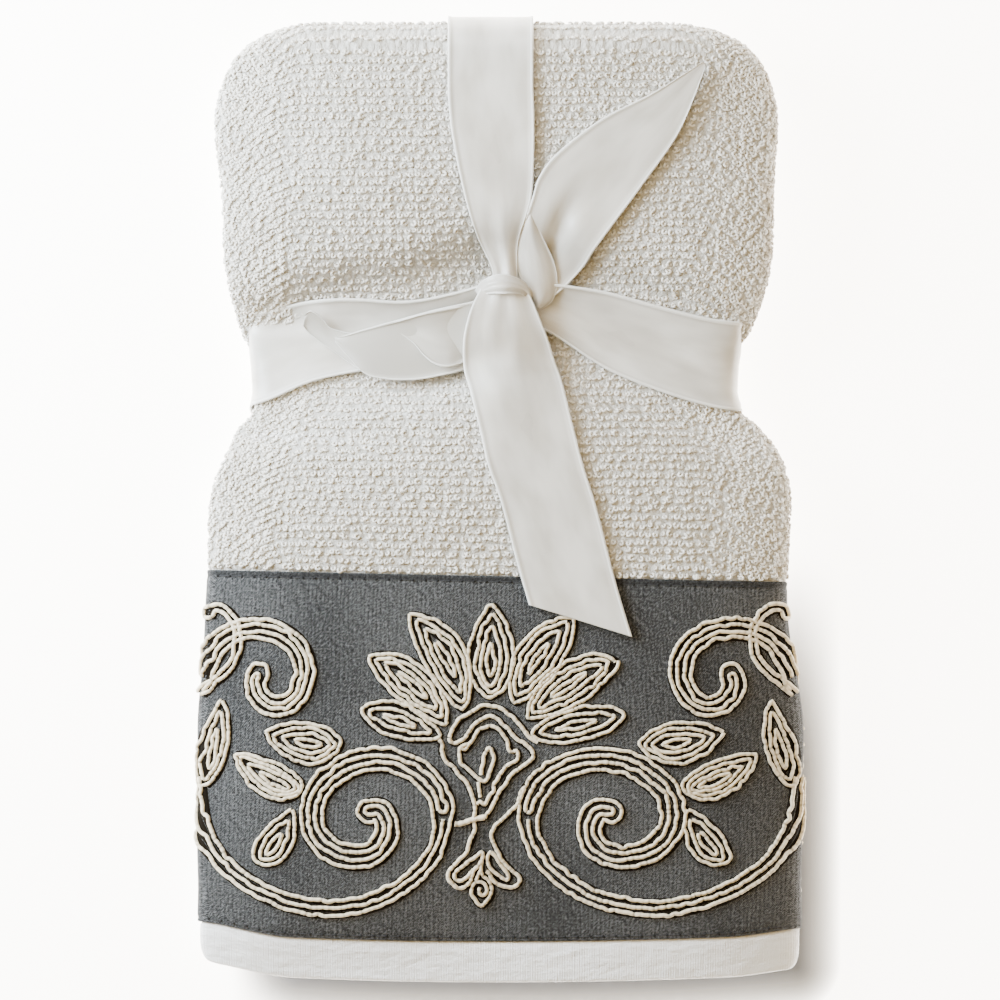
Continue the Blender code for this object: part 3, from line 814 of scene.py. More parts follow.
@dataclass(frozen=True)
class WhiteSatin:
    """The ribbon's satin, with its fine cross weave and raised edges, which carry a painted highlight and a
    thin painted shadow.
    """

    light: Colour = (0.83, 0.80, 0.755)
    shade: Colour = (0.57, 0.535, 0.485)
    # The reverse is partly the satin's real duller back and partly painted shade, darker than that back would
    # be.
    reverse_and_shade: Colour = (0.56, 0.535, 0.49)
    # A painted highlight along the raised selvedges.
    selvedge: Colour = (0.92, 0.91, 0.88)
    weft: float = 0.34

    def material(self) -> bpy.types.Material:
        """Smooth satin that reads its own width, its length and how much its dull side shows, whose darker
        colour is partly the real duller back and partly painted shade.
        """
        finish = Finish("white_satin", Coat(0.36, sheen=0.08, specular=0.6, anisotropy=0.35))
        lay = finish.attribute("lay")
        across, along, dull_side_and_shade = finish.apart(lay)
        weft = along.sine(self.weft) * 0.5 + 0.5
        warp = finish.streaks(lay, (7.0, 0.12, 0))
        cloud = finish.streaks(lay, (2.2, 0.045, 0))
        outwards = (across - 0.5).absolute()
        # Painted highlight on the raised selvedge, and a painted shadow in the groove just inside it.
        edge = outwards.between(0.460, 0.472)
        groove_shadow = outwards.between(0.435, 0.450) * (1 - edge)
        face = finish.mixed((cloud * 0.8 + warp * 0.2).between(0.32, 0.68), self.shade, self.light)
        body = finish.mixed(dull_side_and_shade, face, self.reverse_and_shade)
        with_groove_shadow = finish.mixed(groove_shadow * 0.35, body, self.reverse_and_shade)
        finish.colour(finish.mixed(edge * 0.8, with_groove_shadow, self.selvedge))
        finish.roughness(0.24 + cloud * 0.10 + edge * 0.25 + dull_side_and_shade * 0.2)
        finish.bump(weft * 0.012 + warp * 0.02, METRES, 0.6)
        return finish.material


@dataclass(frozen=True)
class PaleFloor:
    """The plain surface under the towel, glowing evenly bright but for a soft painted shadow beside the
    towel's lower end and right side.
    """

    tone: Colour = (0.93, 0.93, 0.93)
    painted_shadow: Colour = (0.40, 0.43, 0.52)
    light: Colour = (1.0, 0.95, 0.87)
    glow: float = 9.0
    shadow_fade: float = 4.6  # how fast the glow fades within the painted shadow
    side: float = 74.7
    end: float = -121.3
    end_bow: float = 0.0006
    reach: float = 11.0
    from_left: tuple[float, float] = (-69.0, -50.0)
    from_top: tuple[float, float] = (10.0, 75.0)

    def material(self) -> bpy.types.Material:
        """Matt and nearly white, with a painted shadow within reach of the towel's lower end and right side,
        darker in colour and in glow.
        """
        finish = Finish("pale_floor", Coat(0.9, specular=0.1))
        x, y, _ = finish.apart(finish.scaled(finish.position(), (1000, 1000, 1000)))
        beside = (x - self.side).at_least(0.0)
        below = (x * x * self.end_bow + self.end - y).at_least(0.0)
        away = (beside * beside + below * below) ** 0.5
        # Painted shadow: how near a place is to the towel's lower end and right side.
        near = (1 - away * (1 / self.reach)).at_least(0.0)
        near = near * x.between(*self.from_left) * (0 - y).between(*self.from_top)
        # The painted shadow darkens the floor's colour and dims its glow.
        finish.colour(finish.mixed(near, self.tone, self.painted_shadow))
        shadowed_glow = finish.mixed((near * -self.shadow_fade).exponential(), (0.0, 0.0, 0.0), self.light)
        finish.tree.links.new(shadowed_glow, finish.shader.inputs["Emission Color"])
        finish.shader.inputs["Emission Strength"].default_value = self.glow
        return finish.material


# ---- mesh helpers


def mesh_object(name: str, points: Array, faces: list, edges: list | None = None) -> Thing:
    """A mesh object at the origin with these points in metres."""
    mesh = bpy.data.meshes.new(name)
    mesh.from_pydata(points.reshape(-1, 3).tolist(), edges or [], faces)
    mesh.update()
    thing = bpy.data.objects.new(name, mesh)
    bpy.context.collection.objects.link(thing)
    return thing


def point_attribute(thing: Thing, name: str, values: Array) -> None:
    """Give each point of a mesh a number or a vector."""
    vector = values.ndim > 1 and values.shape[-1] == 3
    made = thing.data.attributes.new(name, "FLOAT_VECTOR" if vector else "FLOAT", "POINT")
    made.data.foreach_set("vector" if vector else "value", np.ascontiguousarray(values, np.float32).ravel())


def sheet_faces(rows: int, columns: int, ring: bool = False) -> list[tuple[int, int, int, int]]:
    """Faces of one closed body between two grids of points, the outer grid first.

    Args:
        rows: points along the sheet.
        columns: points across it.
        ring: whether the last row joins the first.

    Returns:
        The faces, four points each, turned outwards.
    """
    low = rows * columns
    faces = []
    for i in range(rows if ring else rows - 1):
        here, there = i * columns, (i + 1) % rows * columns
        for j in range(columns - 1):
            a, b, c, d = here + j, there + j, there + j + 1, here + j + 1
            faces.append((a, d, c, b))
            faces.append((low + a, low + b, low + c, low + d))
        far, next_far = here + columns - 1, there + columns - 1
        faces.append((here, there, low + there, low + here))
        faces.append((far, low + far, low + next_far, next_far))
    if not ring:
        last = (rows - 1) * columns
        for j in range(columns - 1):
            faces.append((j, low + j, low + j + 1, j + 1))
            faces.append((last + j, last + j + 1, low + last + j + 1, low + last + j))
    return faces


class Faces(NamedTuple):
    """The two faces of a sheet of cloth, and how its ends close."""

    inner: Array | float
    outer: Array | float
    rounding: float  # length over which an end closes
    thinnest: float  # square of the share of the thickness that is left at the very end
    drawn: Array | float = 0.0  # how far the outer face is drawn in


def closed_sheet(stack: FoldedStack, name: str, u: Array, v: Array, faces: Faces) -> Thing:
    """A closed sheet of cloth laid over flat places.

    Args:
        stack: where the flat places lie.
        name: the piece's name.
        u, v: grids of flat places, v rising by row.
        faces: the sheet's two faces.

    Returns:
        The sheet, with its own flat places in its attribute "flat".
    """
    inner, outer, rounding, thinnest, drawn = faces
    inner_side = np.array([0, 0, 3.0])
    reach = np.minimum(v - v[0, 0], v[-1, 0] - v)
    closing = np.sqrt(np.clip(1 - (1 - np.clip(reach / rounding, 0, 1)) ** 2, thinnest, 1))
    middle, half = (outer + inner) / 2, (outer - inner) / 2
    upper = stack.place(u, v, middle + half * closing - drawn)
    lower = stack.place(u, v, middle - half * closing)
    points = np.concatenate([upper.reshape(-1, 3), lower.reshape(-1, 3)])
    thing = mesh_object(name, stack.placed(points), sheet_faces(*u.shape))
    flat = np.stack([u, v - v[0, 0], np.zeros(u.shape)], axis=-1).reshape(-1, 3)
    point_attribute(thing, "flat", np.concatenate([flat, flat + inner_side]))
    return thing


def dressed(thing: Thing, material: bpy.types.Material) -> Thing:
    """Smooth a piece, give it its material, and let it ride on the towel's body.

    Args:
        thing: the piece.
        material: its finish.

    Returns:
        The same piece.
    """
    thing.data.materials.clear()
    thing.data.materials.append(material)
    thing.data.shade_smooth()
    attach(thing, "root")
    return thing


def made_plain(thing: Thing) -> Thing:
    """The object with its node modifiers turned into a plain mesh."""
    graph = bpy.context.evaluated_depsgraph_get()
    mesh = bpy.data.meshes.new_from_object(thing.evaluated_get(graph))
    thing.modifiers.clear()
    old = thing.data
    thing.data = mesh
    bpy.data.meshes.remove(old)
    mesh.name = thing.name
    return thing


class Process(Graph):
    """A Geometry Nodes tree with named inputs, run on an object and made plain."""

    def __init__(self, name: str) -> None:
        """Start a tree with a geometry input and output."""
        super().__init__(bpy.data.node_groups.new(name, "GeometryNodeTree"))
        self.values: dict[str, Any] = {}
        self.tree.interface.new_socket("Geometry", in_out="INPUT", socket_type="NodeSocketGeometry")
        self.tree.interface.new_socket("Geometry", in_out="OUTPUT", socket_type="NodeSocketGeometry")
        self.entry = self.tree.nodes.new("NodeGroupInput")
        self.end = self.tree.nodes.new("NodeGroupOutput")

    @property
    def geometry(self) -> Socket:
        """The geometry that comes in."""
        return self.entry.outputs["Geometry"]

    def size(self, name: str, value: Any, kind: str = "NodeSocketFloat") -> Socket:
        """A named input with its value.

        Args:
            name: the input's name.
            value: what the modifier is given.
            kind: its socket type.

        Returns:
            The socket to link from.
        """
        item = self.tree.interface.new_socket(name, in_out="INPUT", socket_type=kind)
        self.values[item.identifier] = value
        return self.entry.outputs[name]

    def named(self, name: str, kind: str = "FLOAT") -> Socket:
        """A named attribute of the geometry that comes in."""
        return self.node("GeometryNodeInputNamedAttribute", {"data_type": kind}, {"Name": name}).outputs[0]

    def standing(self) -> Socket:
        """The turn that stands a copy on the cloth at each point, along its attributes out and across."""
        out, across = self.named("out", "FLOAT_VECTOR"), self.named("across", "FLOAT_VECTOR")
        upright = self.node("FunctionNodeAlignRotationToVector", {"axis": "Z"}, {"Vector": out})
        sockets = {"Rotation": upright.outputs[0], "Vector": across}
        settings = {"axis": "X", "pivot_axis": "Z"}
        return self.node("FunctionNodeAlignRotationToVector", settings, sockets).outputs[0]

    def tube(self, curve: Socket, sides: Any, radius: Any, **more: Any) -> Socket:
        """A round tube along a curve."""
        ring = self.node("GeometryNodeCurvePrimitiveCircle", None, {"Resolution": sides, "Radius": radius})
        sockets = {"Curve": curve, "Profile Curve": ring.outputs[0], **more}
        return self.node("GeometryNodeCurveToMesh", None, sockets).outputs[0]

    def copies(self, piece: Socket, turn: Socket, **more: Any) -> Socket:
        """A copy of a piece at each point that comes in."""
        dots = self.node("GeometryNodeMeshToPoints", None, {"Mesh": self.geometry})
        sockets = {"Points": dots.outputs[0], "Instance": piece, "Rotation": turn, **more}
        return self.node("GeometryNodeInstanceOnPoints", None, sockets).outputs[0]

    def stored(self, geometry: Socket, name: str, value: Any, domain: str) -> Socket:
        """A geometry with a number stored under a name."""
        settings = {"data_type": "FLOAT", "domain": domain}
        sockets = {"Geometry": geometry, "Name": name, "Value": value}
        return self.node("GeometryNodeStoreNamedAttribute", settings, sockets).outputs[0]

    def run(self, thing: Thing, result: Socket, material: bpy.types.Material) -> Thing:
        """Realize the result, set its material, run the tree on an object and make it plain.

        Args:
            thing: the object whose mesh goes in.
            result: the tree's last geometry.
            material: the piece's finish.

        Returns:
            The object, with a plain mesh.
        """
        finish = self.size("Material", material, "NodeSocketMaterial")
        real = self.node("GeometryNodeRealizeInstances", None, {0: result})
        smooth = self.node("GeometryNodeSetShadeSmooth", None, {"Geometry": real.outputs[0]})
        sockets = {"Geometry": smooth.outputs[0], "Material": finish}
        coated = self.node("GeometryNodeSetMaterial", None, sockets)
        self.tree.links.new(coated.outputs[0], self.end.inputs[0])
        modifier = thing.modifiers.new(self.tree.name, "NODES")
        modifier.node_group = self.tree
        for identifier, value in self.values.items():
            modifier[identifier] = value
        return made_plain(thing)


# ---- the towel


@dataclass
class TerryTowel:
    """The towel's one sheet of cloth, with its plain hem and the loops of its face."""

    stack: FoldedStack
    inner_face: float = -1.0
    pile_ground: float = 0.5
    plain_face: float = -0.1
    hem_face: float = 0.45
    column_pitch: float = 1.78
    row_pitch: float = 2.02
    loop_radius: float = 0.51
    yarn: float = 0.33
    open_angle: float = 0.8  # how far each end of a loop goes past the half circle
    lean: float = 1.1
    lean_spread: float = 0.4
    sway: float = 0.45
    twist: float = 1.3
    growth: tuple[float, float] = (0.86, 1.16)
    edge_slant: float = 11.0
    slant_width: float = 19.0
    wander: tuple[float, float] = (0.24, 0.18)  # how far loops stray across and along
    waist_row: float = 163.0  # v of the waist, where one piece of loops ends and the next begins
    top_row: float = 200.0
    fine_step: float = 2.4
    coarse_step: float = 5.0

    def across(self) -> Array:
        """u of every column of points: fine on the front panel and the bends."""
        s = self.stack
        flap = np.linspace(0, s.flap_run, round(s.flap_run / self.coarse_step))
        left = np.linspace(s.flap_run, s.front_start, 7)
        front = np.linspace(s.front_start, s.front_end, round(s.front_run / self.fine_step))
        right = np.linspace(s.front_end, s.front_end + s.right_bend, 9)
        other = np.linspace(s.front_end + s.right_bend, s.flat_width, round(s.flap_run / self.coarse_step))
        return np.unique(np.round(np.concatenate([flap, left, front, right, other]), 4))

    def along(self) -> Array:
        """v of every row of points: fine on the face, with more at the hem and the pile's edge."""
        s = self.stack
        hem = np.array([0, 0.12, 0.4, 0.8, 1.4, 3, 5, 7, 9.4, 9.9, 10.2, 10.6])
        pile_edge = s.hem_strip + s.band_depth
        edge = pile_edge + np.array([-1, 0, 0.4, 0.9, 1.6])
        face = np.arange(13, s.first_run - 0.5, self.fine_step)
        done = s.first_run
        top = done + np.linspace(0, s.group_bend, 13)
        done += s.group_bend
        middle = done + np.linspace(0, s.middle_run, round(s.middle_run / self.coarse_step))
        done += s.middle_run
        low = done + np.linspace(0, s.group_bend, 11)
        done += s.group_bend
        last = done + np.linspace(0, s.last_run, round(s.last_run / self.coarse_step))
        return np.unique(np.round(np.concatenate([hem, face, edge, top, middle, low, last]), 4))

    def outer_face(self, v: Array) -> Array:
        """w of the cloth's face along it: the rolled hem, the plain end and the ground of the pile."""
        pile_edge = self.stack.hem_strip + self.stack.band_depth
        hem = self.hem_face - (self.hem_face - self.plain_face) * soft_step(v, 9.2, 10.2)
        return hem + (self.pile_ground - self.plain_face) * soft_step(v, pile_edge, pile_edge + 1.6)

    def ground(self) -> Thing:
        """The sheet of cloth, closed, its two ends rounded."""
        v, u = np.meshgrid(self.along(), self.across(), indexing="ij")
        faces = Faces(self.inner_face, self.outer_face(v), rounding=0.8, thinnest=0.02)
        thing = closed_sheet(self.stack, "towel_cloth", u, v, faces)
        x, y, z = (k.ravel() for k in np.moveaxis(self.stack.place(u, v, faces.outer), -1, 0))
        # Painted light and shade on the face: positive in the crease for a painted highlight, negative in the
        # dent for painted shade.
        crease_highlight_dent_shade = (self.crease(x, y) - self.dent(x, y)) * (z > self.stack.thickness / 2)
        point_attribute(thing, "crease_highlight_dent_shade", np.concatenate([crease_highlight_dent_shade, np.zeros(crease_highlight_dent_shade.shape)]))
        return thing

    def loop_places(self, zone: Zone) -> Array:
        """Flat places of the loops in a zone: rows that slant down towards the folded sides.

        Args:
            zone: the stretch of cloth.

        Returns:
            u and v of each loop.
        """
        s = self.stack
        random = np.random.default_rng(17)
        first_row = s.hem_strip + s.band_depth + 1.2
        u, row = np.meshgrid(
            np.arange(zone.u_start, zone.u_end, self.column_pitch),
            np.arange(0, (zone.v_end + self.edge_slant * 1.6 - first_row) / self.row_pitch),
        )
        v = first_row + row * self.row_pitch
        inwards = np.minimum(u - s.front_start, s.front_end - u)
        more = inwards < self.slant_width * 0.7
        u = np.concatenate([u.ravel(), u[more] + self.column_pitch / 2])
        v = np.concatenate([v.ravel(), v[more]])
        inwards = np.minimum(u - s.front_start, s.front_end - u)
        near = np.clip(1 - inwards / self.slant_width, 0, 1.3)
        v = v - self.edge_slant * near**1.6
        keep = (v > zone.v_start) & (v < zone.v_end)
        u = u + random.normal(0, self.wander[0], u.shape)
        v = v + random.normal(0, self.wander[1], v.shape) * (1 - 0.5 * np.clip(near * 3, 0, 1))
        return np.stack([u[keep], v[keep]], axis=-1)

    @staticmethod
    def crease(x: Array, y: Array) -> Array:
        """How far a place of the face belongs to the pressed crease below the waist, where loops are left out
        and the cloth and loops are painted paler as a highlight.
        """
        middle = 16.3 - 0.03 * (x + 48)
        return 0.6 * np.exp(-(((x + 49) / 14) ** 4) - ((y - middle) / 1.3) ** 2)

    @staticmethod
    def dent(x: Array, y: Array) -> Array:
        """How far a place of the face belongs to the flattened dent near the folded top, where the loops are
        painted darker as shade.
        """
        return 0.45 * np.exp(-(((x + 57.5) / 5) ** 2) - ((y - 87) / 3.2) ** 2)

    def loops(self, name: str, zone: Zone, steps: int, material: bpy.types.Material) -> Thing:
        """The loops of a zone, one leaning curl of yarn at each place.

        Args:
            name: the piece's name.
            zone: the stretch of cloth.
            steps: lengths of yarn in each loop.
            material: the yarn's finish.

        Returns:
            One plain mesh.
        """
        places = self.loop_places(zone)
        u, v = places[:, 0], places[:, 1]
        edge = self.stack.hem_strip + self.stack.band_depth
        root = self.pile_ground + 0.15 + 0.6 * (1 - soft_step(v, edge, edge + 2.2))
        across, _, out = self.stack.directions(u, v, self.pile_ground)
        places = self.stack.place(u, v, root)
        x, y, z = (places[:, k] for k in range(3))
        on_face = z > self.stack.thickness / 2
        lens = self.crease(x, y) * on_face
        keep = (z + 1.5 * out[:, 2] > 1.2) & (lens < 0.75)
        across, out, points = across[keep], out[keep], self.stack.placed(places[keep])
        thing = mesh_object(name, points, [])
        point_attribute(thing, "out", out)
        point_attribute(thing, "across", across)
        # Painted light and shade on each loop: paler in the crease, darker in the dent.
        point_attribute(thing, "crease_highlight_dent_shade", (lens - self.dent(x, y) * on_face)[keep])
        process = Process(name)
        radius = process.size("Loop radius", self.loop_radius * METRES)
        yarn = process.size("Yarn radius", self.yarn * METRES)
        lean = process.size("Lean", self.lean)
        seed = process.size("Seed", 5, "NodeSocketInt")
        sweep = {"Start Angle": -self.open_angle, "Sweep Angle": math.pi + 2 * self.open_angle}
        sockets = {"Resolution": steps + 1, "Radius": radius, **sweep}
        arc = process.node("GeometryNodeCurveArc", None, sockets)
        tube = process.tube(arc.outputs[0], 4, yarn)
        lift = (0, 0, self.loop_radius * 0.55 * METRES)
        sockets = {"Geometry": tube, "Translation": lift, "Rotation": (math.pi / 2, 0, 0)}
        upright = process.node("GeometryNodeTransform", None, sockets)
        low = process.node("ShaderNodeCombineXYZ", None, {0: lean, 1: -self.sway, 2: -self.twist})
        more = (Wire(process, lean) + self.lean_spread).socket
        high = process.node("ShaderNodeCombineXYZ", None, {0: more, 1: self.sway, 2: self.twist})
        sockets = {0: low.outputs[0], 1: high.outputs[0], "Seed": seed}
        turns = process.node("FunctionNodeRandomValue", {"data_type": "FLOAT_VECTOR"}, sockets)
        by = process.node("FunctionNodeEulerToRotation", None, {0: turns.outputs[0]})
        sockets = {"Rotation": process.standing(), "Rotate By": by.outputs[0]}
        whole = process.node("FunctionNodeRotateRotation", {"rotation_space": "LOCAL"}, sockets)
        sockets = {2: self.growth[0], 3: self.growth[1], "Seed": seed}
        grown = process.node("FunctionNodeRandomValue", {"data_type": "FLOAT"}, sockets)
        loops = process.copies(upright.outputs[0], whole.outputs[0], Scale=grown.outputs[1])
        tone = process.node("FunctionNodeRandomValue", {"data_type": "FLOAT"}, {2: 0.0, 3: 1.0, "Seed": 9})
        return process.run(thing, process.stored(loops, "tone", tone.outputs[1], "INSTANCE"), material)

    def zones(self) -> dict[str, tuple[Zone, int]]:
        """The stretches of cloth that show their loops, with how finely each loop is made."""
        s = self.stack
        start = s.hem_strip + s.band_depth + 0.9
        top = s.first_run + s.group_bend
        low = top + s.middle_run
        left, right = s.flap_run - 0.8, s.front_end + s.right_bend + 0.8
        return {
            "face_loops_low": (Zone(left, right, start, self.waist_row), 6),
            "face_loops_high": (Zone(left, right, self.waist_row, self.top_row), 6),
            "face_loops_top": (Zone(left, right, self.top_row, top + 3), 6),
            "left_side_loops": (Zone(left - 0.7, s.front_start + 1.5, top + 3, s.flat_length - 1), 4),
            "right_side_loops": (Zone(s.front_end - 1.5, right + 0.8, top + 3, s.flat_length - 1), 4),
            "low_fold_loops": (Zone(right + 2, s.flat_width - 1, low - 2, low + s.group_bend + 2), 4),
        }

    def build(self) -> list[Thing]:
        """Make the cloth and its loops."""
        cloth = self.ground()
        dressed(cloth, GroundCloth().material())
        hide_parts("terry_cloth")
        yarn = LoopYarn().material()
        pieces = [cloth]
        for name, (zone, steps) in self.zones().items():
            piece = dressed(self.loops(name, zone, steps, yarn), yarn)
            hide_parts("terry_cloth")
            pieces.append(piece)
        return pieces


# ---- the band


@dataclass
class GreyBand:
    """The grey band sewn across the towel's end, and the two seams that hold it."""

    stack: FoldedStack
    low_face: float = 0.15
    high_face: float = 1.15
    edge: float = 0.5
    stitch_pitch: float = 3.2
    top_seam: float = 1.45
    low_seam: float = 1.1
    seam_depth: float = 0.2
    seam_width: float = 0.55
    thread: float = 0.13
    hole: float = 0.4
    step: float = 2.4

    def cloth(self) -> Thing:
        """The band's own sheet, its turned edges rounded and drawn down at the seams."""
        s = self.stack
        inset = np.array([0, 0.1, 0.3, 0.6, 0.85, self.low_seam, self.top_seam, 1.9, 2.6, 3.4])
        middle = np.arange(5.0, s.band_depth - 4.0, self.step)
        rows = np.unique(np.round(np.concatenate([inset, middle, s.band_depth - inset]), 4))
        columns = TerryTowel(s, fine_step=self.step, coarse_step=6.0).across()
        q, u = np.meshgrid(rows, columns, indexing="ij")
        seam = np.where(q < s.band_depth / 2, q - self.low_seam, s.band_depth - q - self.top_seam)
        drawn = self.seam_depth * np.exp(-((seam / self.seam_width) ** 2))
        faces = Faces(self.low_face, self.high_face, self.edge, 0.03, drawn)
        return closed_sheet(s, "grey_band_cloth", u, s.hem_strip + q, faces)

    def seam_points(self) -> tuple[Array, Array]:
        """u and v of the needle holes of both seams, where they show."""
        s = self.stack
        u = np.arange(s.front_start + 0.4, s.front_end - 1.5, self.stitch_pitch)
        top = np.full(u.shape, s.hem_strip + s.band_depth - self.top_seam)
        low = np.full(u.shape, s.hem_strip + self.low_seam)
        return np.concatenate([u, u]), np.concatenate([top, low])

    def stitches(self, material: bpy.types.Material) -> Thing:
        """The seams' lockstitches: a short bowed thread from each needle hole, and the hole.

        Args:
            material: the thread's finish.

        Returns:
            One plain mesh.
        """
        s = self.stack
        u, v = self.seam_points()
        height = self.high_face - self.seam_depth
        across, _, out = s.directions(u, v, height)
        thing = mesh_object("seam_stitches", s.placed(s.place(u, v, height)), [])
        point_attribute(thing, "out", out)
        point_attribute(thing, "across", across)
        process = Process("seam_stitches")
        length = process.size("Stitch length", self.stitch_pitch * METRES)
        thread = process.size("Thread radius", self.thread * METRES)
        hole = process.size("Hole radius", self.hole * METRES)
        end = process.node("ShaderNodeCombineXYZ", None, {0: length}).outputs[0]
        sockets = {0: end, 1: (0.5, 0, 0), 2: (0, 0, 0.0004)}
        middle = process.node("ShaderNodeVectorMath", {"operation": "MULTIPLY_ADD"}, sockets)
        sockets = {"Resolution": 5, "Start": (0, 0, -0.0001), "Middle": middle.outputs[0], "End": end}
        bowed = process.node("GeometryNodeCurveQuadraticBezier", None, sockets)
        tube = process.tube(bowed.outputs[0], 5, thread, **{"Fill Caps": True})
        ball = process.node("GeometryNodeMeshUVSphere", None, {"Segments": 8, "Rings": 4, "Radius": hole})
        both = process.node("GeometryNodeJoinGeometry")
        for part in (tube, process.stored(ball.outputs[0], "hole", 1.0, "POINT")):
            process.tree.links.new(part, both.inputs[0])
        return process.run(thing, process.copies(both.outputs[0], process.standing()), material)

    def build(self, cords: list[Thing], towel: Thing) -> list[Thing]:
        """Args:
            cords: the pieces of the cord work; not used.
            towel: the cloth that the band lies on; not used.

        Returns:
            The band and its seams.
        """
        band = dressed(self.cloth(), SlateWeave().material())
        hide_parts("grey_band")
        thread = DarkThread().material()
        seams = dressed(self.stitches(thread), thread)
        return [band, seams]


# ---- the cord work


def smoothed(line: Array, spacing: float, closed: bool = False) -> Array:
    """A smooth line through some points, with points at even lengths.

    Args:
        line: the points to pass through.
        spacing: length between the points of the result.
        closed: whether the line joins up.

    Returns:
        The points of the smooth line.
    """
    if closed:
        line = np.vstack([line, line[:1]])
    ends = (line[-2], line[1]) if closed else (2 * line[0] - line[1], 2 * line[-1] - line[-2])
    padded = np.vstack([ends[0], line, ends[1]])
    t = np.linspace(0, 1, 9)[:-1, None]
    pieces = []
    for a, b, c, d in zip(padded[:-3], padded[1:-2], padded[2:-1], padded[3:]):
        square, cube = 2 * a - 5 * b + 4 * c - d, 3 * b - a - 3 * c + d
        pieces.append(0.5 * (2 * b + (c - a) * t + square * t**2 + cube * t**3))
    fine = np.vstack([*pieces, line[-1:]])
    return evenly_spaced(fine, max(3, round(lengths_along(fine)[-1] / spacing) + 1))


